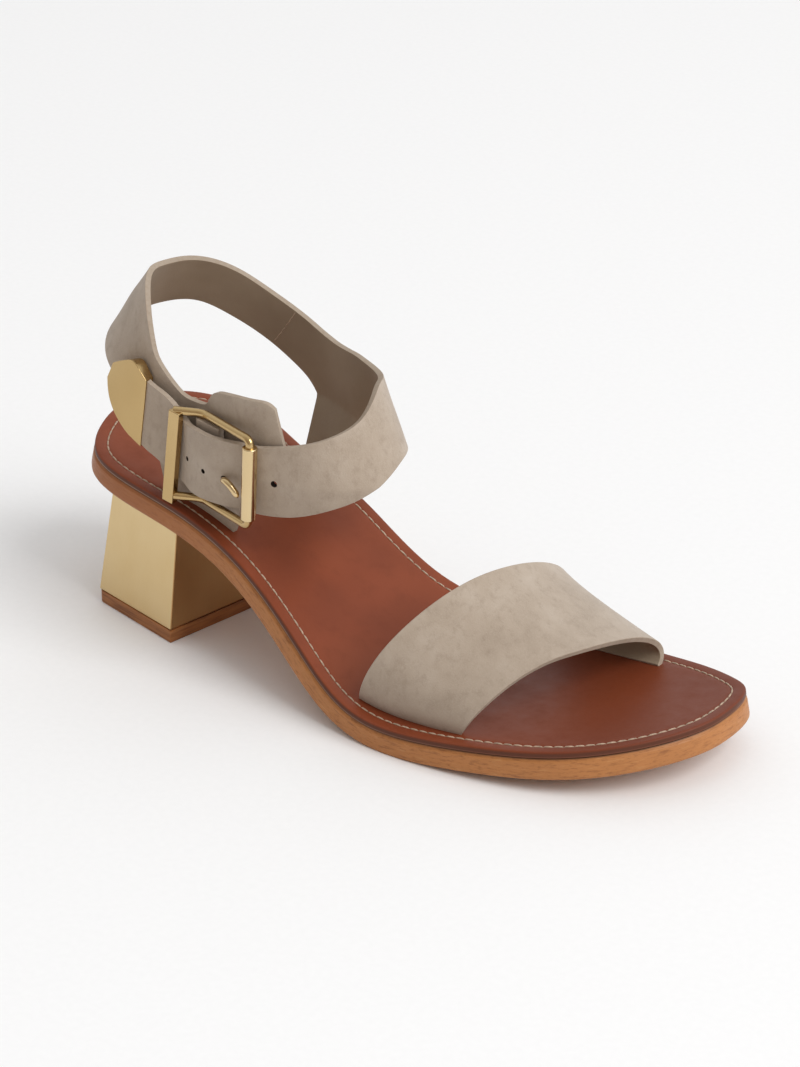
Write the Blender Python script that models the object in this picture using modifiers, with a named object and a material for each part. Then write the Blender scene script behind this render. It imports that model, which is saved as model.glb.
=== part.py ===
"""Heeled sandal for the right foot.

A leather sole, bent over a last, stands on a metal-faced block heel. A suede toe band is let into the
footbed. One suede wall makes the quarters and the ankle strap, and a buckle holds the strap's end.
+X runs to the toe, +Y to the inner side of the foot, +Z up. The sandal stands on z = 0.
Sizes are in millimetres here and the meshes are in metres.
"""
import math
from collections import namedtuple

import bmesh
import bpy
import numpy as np
from mathutils import Vector

MM = 0.001
GAP = 0.3

# The sole seen from above: the outer and inner edge at each distance from the heel's back.
Edge = namedtuple("Edge", "along outer inner")
SOLE_EDGES = [
    Edge(0.0, 0.3, 0.3),
    Edge(4.0, -15.2, 18.2),
    Edge(14.0, -29.0, 28.6),
    Edge(32.0, -34.4, 33.9),
    Edge(60.0, -35.4, 27.2),
    Edge(90.0, -38.2, 24.2),
    Edge(120.0, -44.2, 26.3),
    Edge(148.0, -48.9, 41.8),
    Edge(172.0, -46.9, 44.4),
    Edge(196.0, -41.4, 43.1),
    Edge(216.0, -33.1, 41.6),
    Edge(232.0, -20.1, 37.0),
    Edge(241.9, -5.1, 28.9),
    Edge(245.4, 9.9, 9.9),
]
SOLE_LENGTH = SOLE_EDGES[-1].along
SOLE_STATIONS = 40

# The footbed's top along the foot: heel seat, arch, ball and toe spring.
Bed = namedtuple("Bed", "along height")
FOOTBED = [
    Bed(0.0, 59.2),
    Bed(30.0, 53.4),
    Bed(60.0, 48.6),
    Bed(88.0, 39.8),
    Bed(112.0, 26.9),
    Bed(136.0, 13.1),
    Bed(160.0, 9.4),
    Bed(185.0, 11.4),
    Bed(215.0, 15.0),
    Bed(245.4, 20.4),
]

# Steps of the sole's side: how far out from the edge line, and how deep under the footbed.
Step = namedtuple("Step", "outward depth")
INSOLE_SIDE = [Step(-0.7, 0.0), Step(0.0, 0.6), Step(0.0, 1.7), Step(-0.4, 2.2)]
OUTSOLE_SIDE = [Step(-0.6, 2.5), Step(-0.6, 3.2), Step(0.15, 3.5), Step(0.3, 8.3), Step(-0.5, 9.7)]
SOLE_THICKNESS = OUTSOLE_SIDE[-1].depth

# Heel: a tapered block, turned a little across the foot, over a leather lift.
HEEL_CENTRE = (35.0, -1.5)
HEEL_TURN_DEG = -5.7
Block = namedtuple("Block", "height front rear front_half rear_half")
HEEL_FOOT = Block(4.8, 24.1, -16.1, 34.7, 32.1)
HEEL_SEAT = Block(60.0, 24.1, -10.0, 28.3, 25.8)
HEEL_BEVEL = 0.6
LIFT_HEIGHT = 4.5
LIFT_PROUD = 0.4
LIFT_CORNER = 3.0

# Toe band: an arch over the toes at its rear edge and one at its front edge.
Arch = namedtuple("Arch", "outer_x outer_y inner_x inner_y rise outer_full inner_full"
                          " push outer_lean inner_lean crown outer_bulge inner_bulge")
BAND_REAR = Arch(141.3, -41.1, 152.5, 35.2, 39.1, 2.82, 3.44, 18.2, 1.0, 1.45, -5.7, 4.25, 5.15)
BAND_FRONT = Arch(180.7, -38.2, 205.0, 33.8, 21.1, 2.32, 1.39, 7.95, 1.68, -0.55, -8.3, 1.4, 8.25)
BAND_THICKNESS = 2.0
BAND_ACROSS = 36
BAND_ALONG = 8

# Form that the ankle wall is bent round: its reach from an upright axis at three heights.
# The direction is in degrees from +X, turning to the inner side.
ANKLE_AXIS = (58.0, -3.0)
ANKLE_HEIGHTS = (46.0, 70.0, 112.0)
Reach = namedtuple("Reach", "direction foot low high")
ANKLE_FORM = [
    Reach(0, 70.0, 69.0, 49.0),
    Reach(36, 37.0, 43.7, 40.0),
    Reach(72, 25.5, 35.0, 31.5),
    Reach(108, 30.3, 37.5, 28.5),
    Reach(144, 50.0, 52.0, 33.0),
    Reach(180, 66.0, 71.5, 40.5),
    Reach(216, 46.0, 47.5, 32.5),
    Reach(252, 28.0, 27.0, 26.0),
    Reach(288, 26.6, 28.5, 30.0),
    Reach(324, 43.0, 48.0, 46.5),
]

# The ankle wall as sections from its lower edge to its upper edge. The wrap angle starts at the front,
# passes the outer side, back and inner side, and goes on over the outer side to the strap's end.
Section = namedtuple("Section", "low_wrap low high_wrap high out")
ANKLE_WALL = [
    Section(31.5, 80.0, 34.5, 94.5, -1.0),
    Section(36.0, 77.0, 38.0, 96.3, -1.0),
    Section(43.0, 73.0, 44.0, 96.0, -1.6),
    Section(52.0, 69.0, 51.0, 95.3, -2.4),
    Section(60.0, 68.0, 59.0, 94.2, -2.8),
    Section(67.0, 68.0, 65.3, 92.8, -2.9),
    Section(73.0, 68.0, 70.5, 90.0, -2.9),
    Section(79.0, 68.5, 76.0, 86.5, -2.8),
    Section(87.0, 69.0, 86.0, 85.5, -2.2),
    Section(97.0, 70.0, 98.4, 86.0, -1.5),
    Section(107.0, 71.5, 108.0, 89.3, -0.8),
    Section(116.0, 73.0, 116.0, 93.5, -0.3),
    Section(122.0, 75.5, 123.0, 98.0, 0.0),
    Section(130.0, 79.5, 129.0, 104.0, 0.0),
    Section(142.0, 84.0, 138.0, 111.5, 0.0),
    Section(155.0, 88.5, 150.0, 117.0, 0.0),
    Section(168.0, 93.2, 166.0, 119.0, 0.0),
    Section(181.0, 96.3, 181.0, 118.0, 0.0),
    Section(195.0, 98.6, 195.0, 117.8, 0.0),
    Section(208.0, 98.4, 210.0, 116.2, 0.0),
    Section(224.0, 93.0, 226.0, 112.5, 0.0),
    Section(242.0, 86.3, 241.0, 107.7, 0.0),
    Section(252.0, 82.4, 252.0, 104.2, 0.0),
    Section(262.0, 78.4, 262.0, 101.3, 0.0),
    Section(271.0, 74.4, 271.0, 98.8, 0.0),
    Section(277.0, 69.8, 279.0, 96.6, 0.0),
    Section(282.0, 66.2, 286.0, 94.9, 0.0),
    Section(288.0, 62.8, 293.0, 93.8, 0.0),
    Section(294.0, 59.8, 300.0, 93.2, 0.0),
    Section(299.0, 57.6, 307.0, 93.2, 0.0),
    Section(303.6, 58.8, 312.0, 93.4, 0.0),
    Section(312.5, 62.4, 318.0, 93.7, 0.0),
    Section(325.0, 67.4, 327.0, 93.8, 0.0),
    Section(338.0, 71.7, 337.0, 94.6, 0.0),
    Section(350.0, 74.4, 347.0, 96.4, 0.0),
    Section(358.7, 74.2, 354.5, 96.8, 0.1),
    Section(366.8, 70.6, 362.5, 93.6, 0.3),
    Section(374.0, 66.4, 370.5, 89.6, 0.8),
    Section(381.0, 62.9, 379.0, 86.9, 1.5),
    Section(391.0, 58.5, 388.0, 84.5, 2.2),
    Section(402.0, 56.7, 401.5, 82.0, 3.0),
    Section(409.0, 56.9, 409.0, 81.8, 4.2),
    Section(416.0, 56.8, 416.0, 81.6, 5.5),
    Section(425.0, 56.8, 425.0, 81.4, 6.5),
    Section(435.0, 57.0, 435.0, 81.6, 6.7),
    Section(443.0, 57.9, 443.0, 81.7, 6.0),
    Section(451.0, 59.5, 451.0, 83.6, 5.0),
    Section(461.5, 61.4, 461.0, 86.7, 4.7),
    Section(470.0, 64.1, 469.0, 88.6, 4.8),
    Section(477.3, 66.7, 475.2, 89.9, 4.8),
]
WALL_THICKNESS = 2.0
WALL_COLUMNS = 3
WALL_ROWS = 5

# Legs of the quarters: the stretch of the wall's lower edge they hang from, and their ends in the footbed.
Leg = namedtuple("Leg", "first last foot_first foot_last")
QUARTER_LEGS = [Leg(43.0, 122.0, 55.0, 111.0), Leg(277.0, 299.0, 281.0, 314.0)]
LEG_ROWS = 4

# Metal cap on the strap's end, in the same terms as the wall, measured to its outer face.
TIP = [
    Section(478.1, 66.8, 476.0, 90.6, 5.4),
    Section(484.0, 70.4, 480.5, 94.0, 6.0),
    Section(488.3, 73.3, 485.2, 95.9, 6.0),
    Section(492.5, 76.8, 489.9, 95.2, 6.0),
    Section(496.4, 81.4, 494.5, 93.6, 6.0),
    Section(499.2, 86.4, 498.2, 91.9, 6.0),
]
TIP_THICKNESS = 4.2

# Buckle, about the middle of its centre bar: x to the toe, y to the inner side, z along the bar.
BUCKLE_PLACE = (65.2, -30.5, 69.3)
BUCKLE_LEAN_DEG = 3.0
BUCKLE_HALF = 15.6
RAIL_RADIUS = 1.2
RAIL_CORNER = 2.6
CENTRE_BAR_RADIUS = 1.1
PLATE_MIDDLE = (-8.5, -5.2, -1.2)
PLATE_SIZE = (4.6, 2.6, 34.0)
PLATE_LEAN_DEG = 4.5
PLATE_BEVEL = 0.4
FRONT_BAR = (26.9, -7.1, 2.4)
ROLLER_RADIUS = 2.5
ROLLER_WALL = 0.9
ROLLER_LENGTH = 26.0
PRONG_RADIUS = 1.0
PRONG_PATH = [
    (1.9, -0.9, -0.6),
    (6.5, -1.5, -0.8),
    (11.0, -2.1, -1.0),
    (13.7, -3.6, -1.2),
    (15.2, -5.9, -1.2),
    (16.6, -7.8, 0.0),
    (19.2, -8.7, 0.2),
    (21.6, -8.5, -1.6),
    (23.1, -8.1, -3.7),
]
PRONG_HOLE_RADIUS = 2.4
PRONG_HOLE = (15.0, -5.6, -1.1)

# Loop that carries the buckle: a strip folded round the rear of the centre bar, its layers closing in front.
LOOP_BEND = 2.3
LOOP_THICKNESS = 0.9
LOOP_LENGTH = 9.5
LOOP_FRONT_OUTER = -2.9
LOOP_FRONT_INNER = -0.2
LOOP_HALF = 12.5
LOOP_SLOT = 4.4
LOOP_SLOT_BACK = 0.4

SIDES = 12


def spline(knots, values):
    """Natural cubic curve through the values, carried on straight past both ends."""
    knots = np.asarray(knots, float)
    values = np.asarray(values, float)
    gaps = np.diff(knots)
    rises = np.diff(values, axis=0)
    count = len(knots)
    system = np.eye(count)
    right = np.zeros(values.shape)
    for i in range(1, count - 1):
        system[i, i - 1:i + 2] = gaps[i - 1], 2 * (gaps[i - 1] + gaps[i]), gaps[i]
        right[i] = 3 * (rises[i] / gaps[i] - rises[i - 1] / gaps[i - 1])
    bend = np.linalg.solve(system, right)

    def at(place):
        inside = min(max(place, knots[0]), knots[-1])
        i = min(max(int(np.searchsorted(knots, inside)) - 1, 0), count - 2)
        start = rises[i] / gaps[i] - gaps[i] * (2 * bend[i] + bend[i + 1]) / 3
        curve = (bend[i + 1] - bend[i]) / (3 * gaps[i])
        step = inside - knots[i]
        slope = start + step * (2 * bend[i] + 3 * curve * step)
        return values[i] + step * (start + step * (bend[i] + step * curve)) + (place - inside) * slope

    return at


def turn_of(along):
    """Angle that spaces stations closely at the heel's back and at the toe."""
    return math.acos(1 - 2 * along / SOLE_LENGTH)


outer_edge = spline([turn_of(e.along) for e in SOLE_EDGES], [e.outer for e in SOLE_EDGES])
inner_edge = spline([turn_of(e.along) for e in SOLE_EDGES], [e.inner for e in SOLE_EDGES])
bed_height = spline([b.along for b in FOOTBED], [b.height for b in FOOTBED])
FORM_TURNS = [r.direction for r in ANKLE_FORM * 3]
FORM_TURNS = [turn + 360 * (i // len(ANKLE_FORM) - 1) for i, turn in enumerate(FORM_TURNS)]
form_reach = spline(FORM_TURNS, [(r.foot, r.low, r.high) for r in ANKLE_FORM * 3])


def under_bed(x, y, depth):
    """Point at a depth under the footbed, square to its profile and never below the floor."""
    slope = (bed_height(x + 0.5) - bed_height(x - 0.5))
    square = math.hypot(1, slope)
    return x + depth * slope / square, y, max(bed_height(x) - depth / square, 0.0)


def sole_ring(outward, depth):
    """Outline of the sole at one step of its side, from the heel's back by the outer side to the toe."""
    turns = [math.pi * i / SOLE_STATIONS for i in range(SOLE_STATIONS + 1)]
    outline = [(t, outer_edge(t)) for t in turns] + [(t, inner_edge(t)) for t in turns[-2:0:-1]]
    flat = [Vector((SOLE_LENGTH * (1 - math.cos(t)) / 2, y)) for t, y in outline]
    ring = []
    for i, here in enumerate(flat):
        ahead = (flat[(i + 1) % len(flat)] - flat[i - 1]).normalized()
        moved = here + outward * Vector((ahead.y, -ahead.x))
        ring.append(under_bed(moved.x, moved.y, depth))
    return ring


def ankle_point(wrap, height, out):
    """Point on the ankle form at a wrap angle and height, moved outward."""
    foot, low, high = form_reach(-wrap % 360)
    reach = np.interp(height, ANKLE_HEIGHTS, (foot, low, high)) + out
    if height > ANKLE_HEIGHTS[2]:
        reach += (high - low) * (height - ANKLE_HEIGHTS[2]) / (ANKLE_HEIGHTS[2] - ANKLE_HEIGHTS[1])
    turn = math.radians(-wrap)
    return ANKLE_AXIS[0] + reach * math.cos(turn), ANKLE_AXIS[1] + reach * math.sin(turn), height


def foot_point(wrap):
    """Point where the ankle form meets the footbed."""
    height = ANKLE_HEIGHTS[0]
    for _ in range(6):
        height = bed_height(ankle_point(wrap, height, 0)[0]) + GAP
    return ankle_point(wrap, height, 0)


def between(start, end, share):
    """Point at a share of the way from start to end."""
    return tuple(np.asarray(start) * (1 - share) + np.asarray(end) * share)


def wall_columns(sections, columns, rows):
    """Points of a wall on the ankle form: one column after another, each from its lower edge up."""
    curve = spline(range(len(sections)), sections)
    places = np.linspace(0, len(sections) - 1, (len(sections) - 1) * columns + 1)
    wall = []
    for place in places:
        section = Section(*curve(place))
        column = []
        for row in range(rows + 1):
            share = row / rows
            wrap = section.low_wrap + (section.high_wrap - section.low_wrap) * share
            height = section.low + (section.high - section.low) * share
            column.append(ankle_point(wrap, height, section.out))
        wall.append(column)
    return wall, [curve(place)[0] for place in places]


def arch_point(arch, share):
    """Point of the toe band's arch at a share of the way from the outer to the inner slit."""
    turn = (2 * share - 1) * math.pi / 2
    outer = share < 0.5
    side = -1 if outer else 1
    reach = arch.crown - arch.outer_y if outer else arch.inner_y - arch.crown
    lift = max(math.cos(turn), 0) ** (2 / (arch.outer_full if outer else arch.inner_full))
    flat_y = arch.crown + reach * math.sin(turn)
    over = (flat_y - arch.outer_y) / (arch.inner_y - arch.outer_y)
    lean = arch.outer_lean if outer else arch.inner_lean
    x = arch.outer_x + (arch.inner_x - arch.outer_x) * over + arch.push * lift * (lean + (1 - lean) * lift)
    bulge = arch.outer_bulge if outer else arch.inner_bulge
    y = flat_y + side * bulge * math.sin(math.pi * lift ** 0.8)
    base = bed_height(arch.outer_x) * (1 - over) + bed_height(arch.inner_x) * over
    return x, y, base + GAP + arch.rise * lift


def heel_outline(block, proud, corner):
    """Outline of the heel at one level, with its two rear corners rounded."""
    front = block.front + proud
    rear = block.rear - proud
    turn = math.radians(HEEL_TURN_DEG)
    points = [(front, -block.front_half - proud)]
    for side in (-1, 1):
        middle = (rear + corner, side * (block.rear_half + proud - corner))
        arc = [(middle[0] - corner * math.sin(a), middle[1] + side * corner * math.cos(a))
               for a in np.linspace(0, math.pi / 2, 4)]
        points += arc if side < 0 else arc[::-1]
    points.append((front, block.front_half + proud))
    return [(HEEL_CENTRE[0] + x * math.cos(turn) - y * math.sin(turn),
             HEEL_CENTRE[1] + x * math.sin(turn) + y * math.cos(turn)) for x, y in points]


def add_object(name, mesh, collection):
    """New object holding a mesh, in a collection."""
    piece = bpy.data.objects.new(name, mesh)
    collection.objects.link(piece)
    return piece


def mesh_of(name, points, faces, closed=True):
    """Mesh from points in millimetres and faces. A closed body is turned outside out."""
    work = bmesh.new()
    corners = [work.verts.new(Vector(p) * MM) for p in points]
    for face in faces:
        work.faces.new([corners[i] for i in face])
    if closed:
        bmesh.ops.recalc_face_normals(work, faces=work.faces)
    mesh = bpy.data.meshes.new(name)
    work.to_mesh(mesh)
    work.free()
    return mesh


def loft(name, rings, collection):
    """Closed body through rings of equal length, its ends filled by strips across the ring."""
    size = len(rings[0])
    half = size // 2
    points = [p for ring in rings for p in ring]
    faces = []
    for k in range(len(rings) - 1):
        for i in range(size):
            j = (i + 1) % size
            faces.append((k * size + i, k * size + j, (k + 1) * size + j, (k + 1) * size + i))
    for start in (0, (len(rings) - 1) * size):
        for i in range(half):
            strip = [i, i + 1, (size - i - 1) % size, (size - i) % size]
            faces.append([start + n for n in dict.fromkeys(strip)])
    return add_object(name, mesh_of(name, points, faces), collection)


def prism(name, low, low_height, high, high_height, collection):
    """Closed body between two flat outlines."""
    size = len(low)
    points = [(x, y, low_height) for x, y in low] + [(x, y, high_height) for x, y in high]
    faces = [list(range(size)), list(range(size, 2 * size))]
    faces += [(i, (i + 1) % size, size + (i + 1) % size, size + i) for i in range(size)]
    return add_object(name, mesh_of(name, points, faces), collection)


def shell(name, columns, thickness, collection, extra=()):
    """Open sheet of columns, thickened inward. Extra sheets hang from stretches of its lower edge."""
    rows = len(columns[0])
    points = [p for column in columns for p in column]
    faces = []
    for i in range(len(columns) - 1):
        for j in range(rows - 1):
            k = i * rows + j
            faces.append((k, k + 1, k + rows + 1, k + rows))
    for first, sheet in extra:
        upper = [i * rows for i in range(first, first + len(sheet[0]))]
        for line in sheet:
            lower = list(range(len(points), len(points) + len(line)))
            points += line
            for i in range(len(line) - 1):
                faces.append((lower[i], upper[i], upper[i + 1], lower[i + 1]))
            upper = lower
    piece = add_object(name, mesh_of(name, points, faces, closed=False), collection)
    thicken = piece.modifiers.new("thickness", "SOLIDIFY")
    thicken.thickness = thickness * MM
    thicken.offset = -1
    thicken.use_even_offset = True
    return piece


def rod(name, path, radius, collection):
    """Round bar along a path."""
    curve = bpy.data.curves.new(name, "CURVE")
    curve.dimensions = "3D"
    curve.bevel_depth = radius * MM
    curve.bevel_resolution = SIDES // 4 - 1
    curve.use_fill_caps = True
    line = curve.splines.new("POLY")
    line.points.add(len(path) - 1)
    for point, place in zip(line.points, path):
        point.co = (*(Vector(place) * MM), 1)
    bent = bpy.data.objects.new(name, curve)
    mesh = bpy.data.meshes.new_from_object(bent)
    bpy.data.objects.remove(bent)
    work = bmesh.new()
    work.from_mesh(mesh)
    bmesh.ops.remove_doubles(work, verts=work.verts, dist=1e-6)
    bmesh.ops.recalc_face_normals(work, faces=work.faces)
    work.to_mesh(mesh)
    work.free()
    return add_object(name, mesh, collection)


def rounded(path, radius, steps=4):
    """Path with each inner corner turned into an arc."""
    smooth = [Vector(path[0])]
    for before, here, after in zip(path, path[1:], path[2:]):
        here = Vector(here)
        back = (Vector(before) - here).normalized() * radius
        ahead = (Vector(after) - here).normalized() * radius
        for i in range(steps + 1):
            share = i / steps
            smooth.append(here + back * (1 - share) ** 2 + ahead * share ** 2)
    return smooth + [Vector(path[-1])]


def box(name, size, collection):
    """Box about the origin."""
    work = bmesh.new()
    bmesh.ops.create_cube(work, size=1)
    bmesh.ops.scale(work, vec=Vector(size) * MM, verts=work.verts)
    mesh = bpy.data.meshes.new(name)
    work.to_mesh(mesh)
    work.free()
    return add_object(name, mesh, collection)


def bevel(piece, width, segments=1):
    """Round the sharp edges of a piece."""
    edge = piece.modifiers.new("edges", "BEVEL")
    edge.width = width * MM
    edge.segments = segments
    edge.limit_method = "ANGLE"


def combine(piece, operand, operation):
    """Join another body to a piece, or cut it away."""
    joined = piece.modifiers.new(operand.name, "BOOLEAN")
    joined.object = operand
    joined.operation = operation
    joined.solver = "EXACT"
    operand.hide_render = True
    operand.display_type = "WIRE"


def paint(piece, colour, roughness, metallic=0.0):
    """Give a piece its material."""
    material = bpy.data.materials.new(piece.name)
    material.use_nodes = True
    surface = material.node_tree.nodes["Principled BSDF"]
    surface.inputs["Base Color"].default_value = (*colour, 1)
    surface.inputs["Roughness"].default_value = roughness
    surface.inputs["Metallic"].default_value = metallic
    piece.data.materials.append(material)


for old in list(bpy.data.objects):
    bpy.data.objects.remove(old)
sandal = bpy.data.collections.new("heeled_sandal")
cutters = bpy.data.collections.new("cutters")
for group in (sandal, cutters):
    bpy.context.scene.collection.children.link(group)

SUEDE = (0.42, 0.37, 0.31)
LEATHER = (0.36, 0.19, 0.08)
INSOLE_LEATHER = (0.2, 0.07, 0.04)
GOLD = (0.8, 0.62, 0.3)

# Sole: the footbed leather, and the outsole under it with a groove below its upper edge.
insole = loft("insole", [sole_ring(*step) for step in INSOLE_SIDE], sandal)
paint(insole, INSOLE_LEATHER, 0.5)
outsole = loft("outsole", [sole_ring(*step) for step in OUTSOLE_SIDE], sandal)
paint(outsole, LEATHER, 0.45)

# Heel: the block runs up into the sole's underside and is trimmed to it.
heel_block = prism("heel_block", heel_outline(HEEL_FOOT, 0, 0.5), HEEL_FOOT.height,
                   heel_outline(HEEL_SEAT, 0, 0.5), HEEL_SEAT.height, sandal)
bevel(heel_block, HEEL_BEVEL)
seat = loft("seat_cutter", [sole_ring(8, -30), sole_ring(8, SOLE_THICKNESS + GAP)], cutters)
combine(heel_block, seat, "DIFFERENCE")
paint(heel_block, GOLD, 0.2, 1.0)
lift_outline = heel_outline(HEEL_FOOT, LIFT_PROUD, LIFT_CORNER)
heel_lift = prism("heel_lift", lift_outline, 0, lift_outline, LIFT_HEIGHT, sandal)
paint(heel_lift, LEATHER, 0.5)

# Toe band: a sheet ruled from its rear arch to its front arch.
band = []
for i in range(BAND_ACROSS + 1):
    line = []
    for j in range(BAND_ALONG + 1):
        arch = Arch(*between(BAND_REAR, BAND_FRONT, j / BAND_ALONG))
        line.append(arch_point(arch, i / BAND_ACROSS))
    band.append(line)
toe_band = shell("toe_band", band, BAND_THICKNESS, sandal)
paint(toe_band, SUEDE, 0.95)

# Ankle wall: quarters, back strap and front strap in one sheet, with legs let down to the footbed.
wall, low_wraps = wall_columns(ANKLE_WALL, WALL_COLUMNS, WALL_ROWS)
legs = []
for leg in QUARTER_LEGS:
    hung = [i for i, wrap in enumerate(low_wraps) if leg.first - 0.01 <= wrap <= leg.last + 0.01]
    feet = [foot_point(wrap) for wrap in np.linspace(leg.foot_first, leg.foot_last, len(hung))]
    sheet = []
    for row in range(1, LEG_ROWS + 1):
        sheet.append([between(wall[i][0], foot, row / LEG_ROWS) for i, foot in zip(hung, feet)])
    legs.append((hung[0], sheet))
ankle_upper = shell("ankle_upper", wall, WALL_THICKNESS, sandal, legs)
paint(ankle_upper, SUEDE, 0.95)

# Strap tip: a metal cap that carries the strap's end on.
tip, _ = wall_columns(TIP, 3, 4)
strap_tip = shell("strap_tip", tip, TIP_THICKNESS, sandal)
paint(strap_tip, GOLD, 0.25, 1.0)

# Buckle: a rear plate, two bent rails, a centre bar, and a front bar inside the roller.
corners = [(PLATE_MIDDLE[0], PLATE_MIDDLE[1], 0), (0, 0, 0), FRONT_BAR]
path = [(x, y, z + BUCKLE_HALF) for x, y, z in corners]
path += [(x, y, z - BUCKLE_HALF) for x, y, z in reversed(corners)]
buckle_frame = rod("buckle_frame", rounded(path, RAIL_CORNER), RAIL_RADIUS, sandal)
centre_bar = rod("centre_bar", [(0, 0, -BUCKLE_HALF), (0, 0, BUCKLE_HALF)], CENTRE_BAR_RADIUS, cutters)
plate = box("plate", PLATE_SIZE, cutters)
bevel(plate, PLATE_BEVEL)
combine(buckle_frame, centre_bar, "UNION")
combine(buckle_frame, plate, "UNION")
paint(buckle_frame, GOLD, 0.2, 1.0)
front_tube = bmesh.new()
bmesh.ops.create_cone(front_tube, segments=20, radius1=ROLLER_RADIUS * MM, radius2=ROLLER_RADIUS * MM,
                      depth=ROLLER_LENGTH * MM)
roller_mesh = bpy.data.meshes.new("buckle_roller")
front_tube.to_mesh(roller_mesh)
front_tube.free()
buckle_roller = add_object("buckle_roller", roller_mesh, sandal)
roller_wall = buckle_roller.modifiers.new("wall", "SOLIDIFY")
roller_wall.thickness = ROLLER_WALL * MM
paint(buckle_roller, GOLD, 0.2, 1.0)
buckle_prong = rod("buckle_prong", PRONG_PATH, PRONG_RADIUS, sandal)
paint(buckle_prong, GOLD, 0.2, 1.0)

# Loop: folded round the rear of the centre bar, and split where the prong passes.
fold = [(LOOP_LENGTH, LOOP_FRONT_OUTER)]
fold += [(-LOOP_BEND * math.sin(a), -LOOP_BEND * math.cos(a)) for a in np.linspace(0, math.pi, 9)]
fold += [(LOOP_LENGTH, LOOP_FRONT_INNER)]
buckle_loop = shell("buckle_loop", [[(x, y, z) for z in (-LOOP_HALF, 0, LOOP_HALF)] for x, y in fold],
                    LOOP_THICKNESS, sandal)
slot = box("loop_slot", (2 * LOOP_LENGTH + 4, LOOP_BEND * 2, LOOP_SLOT), cutters)
combine(buckle_loop, slot, "DIFFERENCE")
paint(buckle_loop, SUEDE, 0.95)
prong_hole = rod("prong_hole", [(PRONG_HOLE[0], PRONG_HOLE[1] - 6, PRONG_HOLE[2]),
                                (PRONG_HOLE[0] - 0.5, PRONG_HOLE[1] + 4.2, PRONG_HOLE[2])],
                 PRONG_HOLE_RADIUS, cutters)
combine(ankle_upper, prong_hole, "DIFFERENCE")

# The buckle's pieces are placed together, leaning with the strap.
buckle = bpy.data.objects.new("buckle_place", None)
sandal.objects.link(buckle)
buckle.location = Vector(BUCKLE_PLACE) * MM
buckle.rotation_euler.y = math.radians(BUCKLE_LEAN_DEG)
for piece in (buckle_frame, centre_bar, plate, buckle_roller, buckle_prong, buckle_loop, slot, prong_hole):
    piece.parent = buckle
plate.location = Vector(PLATE_MIDDLE) * MM
plate.rotation_euler.y = math.radians(PLATE_LEAN_DEG)
buckle_roller.location = Vector(FRONT_BAR) * MM
slot.location.y = -(LOOP_BEND + LOOP_SLOT_BACK) * MM

# The whole sandal is placed with the middle of its box over the origin.
sandal_place = bpy.data.objects.new("sandal_place", None)
sandal.objects.link(sandal_place)
for piece in list(sandal.objects) + list(cutters.objects):
    if piece.parent is None and piece is not sandal_place:
        piece.parent = sandal_place
bpy.context.view_layer.update()
graph = bpy.context.evaluated_depsgraph_get()
reached = []
for piece in sandal.objects:
    if piece.type == "MESH":
        shown = piece.evaluated_get(graph)
        reached += [shown.matrix_world @ v.co for v in shown.data.vertices]
low = [min(point[axis] for point in reached) for axis in range(2)]
high = [max(point[axis] for point in reached) for axis in range(2)]
sandal_place.location = (-(low[0] + high[0]) / 2, -(low[1] + high[1]) / 2, 0)
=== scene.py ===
import math
from collections import namedtuple

import bmesh
import bpy
import numpy as np
from mathutils import Matrix, Vector


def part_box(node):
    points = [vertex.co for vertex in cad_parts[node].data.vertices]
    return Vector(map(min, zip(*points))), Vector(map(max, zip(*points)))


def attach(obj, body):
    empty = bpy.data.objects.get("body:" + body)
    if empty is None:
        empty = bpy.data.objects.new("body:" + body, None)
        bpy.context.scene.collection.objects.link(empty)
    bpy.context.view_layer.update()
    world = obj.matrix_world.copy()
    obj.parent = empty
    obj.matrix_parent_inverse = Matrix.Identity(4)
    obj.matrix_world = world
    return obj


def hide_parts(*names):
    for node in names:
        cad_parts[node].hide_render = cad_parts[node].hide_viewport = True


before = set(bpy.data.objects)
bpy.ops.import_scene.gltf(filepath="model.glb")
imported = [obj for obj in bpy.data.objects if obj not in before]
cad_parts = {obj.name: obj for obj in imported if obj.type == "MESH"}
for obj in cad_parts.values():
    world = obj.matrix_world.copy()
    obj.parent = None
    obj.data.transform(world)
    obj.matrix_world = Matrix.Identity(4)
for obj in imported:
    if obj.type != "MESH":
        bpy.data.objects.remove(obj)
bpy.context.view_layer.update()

# Footbed: brown vegetable-tanned leather, cut flush with the sole's edge and glued down over the last.
# Its cut edge is left bare and has worn pale. The straps go down into slits cut through it.
MM = 0.001
Edge = namedtuple("Edge", "along outer inner")
SOLE_EDGES = [
    Edge(0.0, 0.3, 0.3),
    Edge(4.0, -15.2, 18.2),
    Edge(14.0, -29.0, 28.6),
    Edge(32.0, -34.4, 33.9),
    Edge(60.0, -35.4, 27.2),
    Edge(90.0, -38.2, 24.2),
    Edge(120.0, -44.2, 26.3),
    Edge(148.0, -48.9, 41.8),
    Edge(172.0, -46.9, 44.4),
    Edge(196.0, -41.4, 43.1),
    Edge(216.0, -33.1, 41.6),
    Edge(232.0, -20.1, 37.0),
    Edge(241.9, -5.1, 28.9),
    Edge(245.4, 9.9, 9.9),
]
SOLE_LENGTH = SOLE_EDGES[-1].along
Bed = namedtuple("Bed", "along height")
FOOTBED = [
    Bed(0.0, 59.2),
    Bed(30.0, 53.4),
    Bed(60.0, 48.6),
    Bed(88.0, 39.8),
    Bed(112.0, 26.9),
    Bed(136.0, 13.1),
    Bed(160.0, 9.4),
    Bed(185.0, 11.4),
    Bed(215.0, 15.0),
    Bed(245.4, 20.4),
]
SOLE_STATIONS = 150
Step = namedtuple("Step", "outward depth")
WIDEST_STEP = Step(0.3, 8.3)
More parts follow.
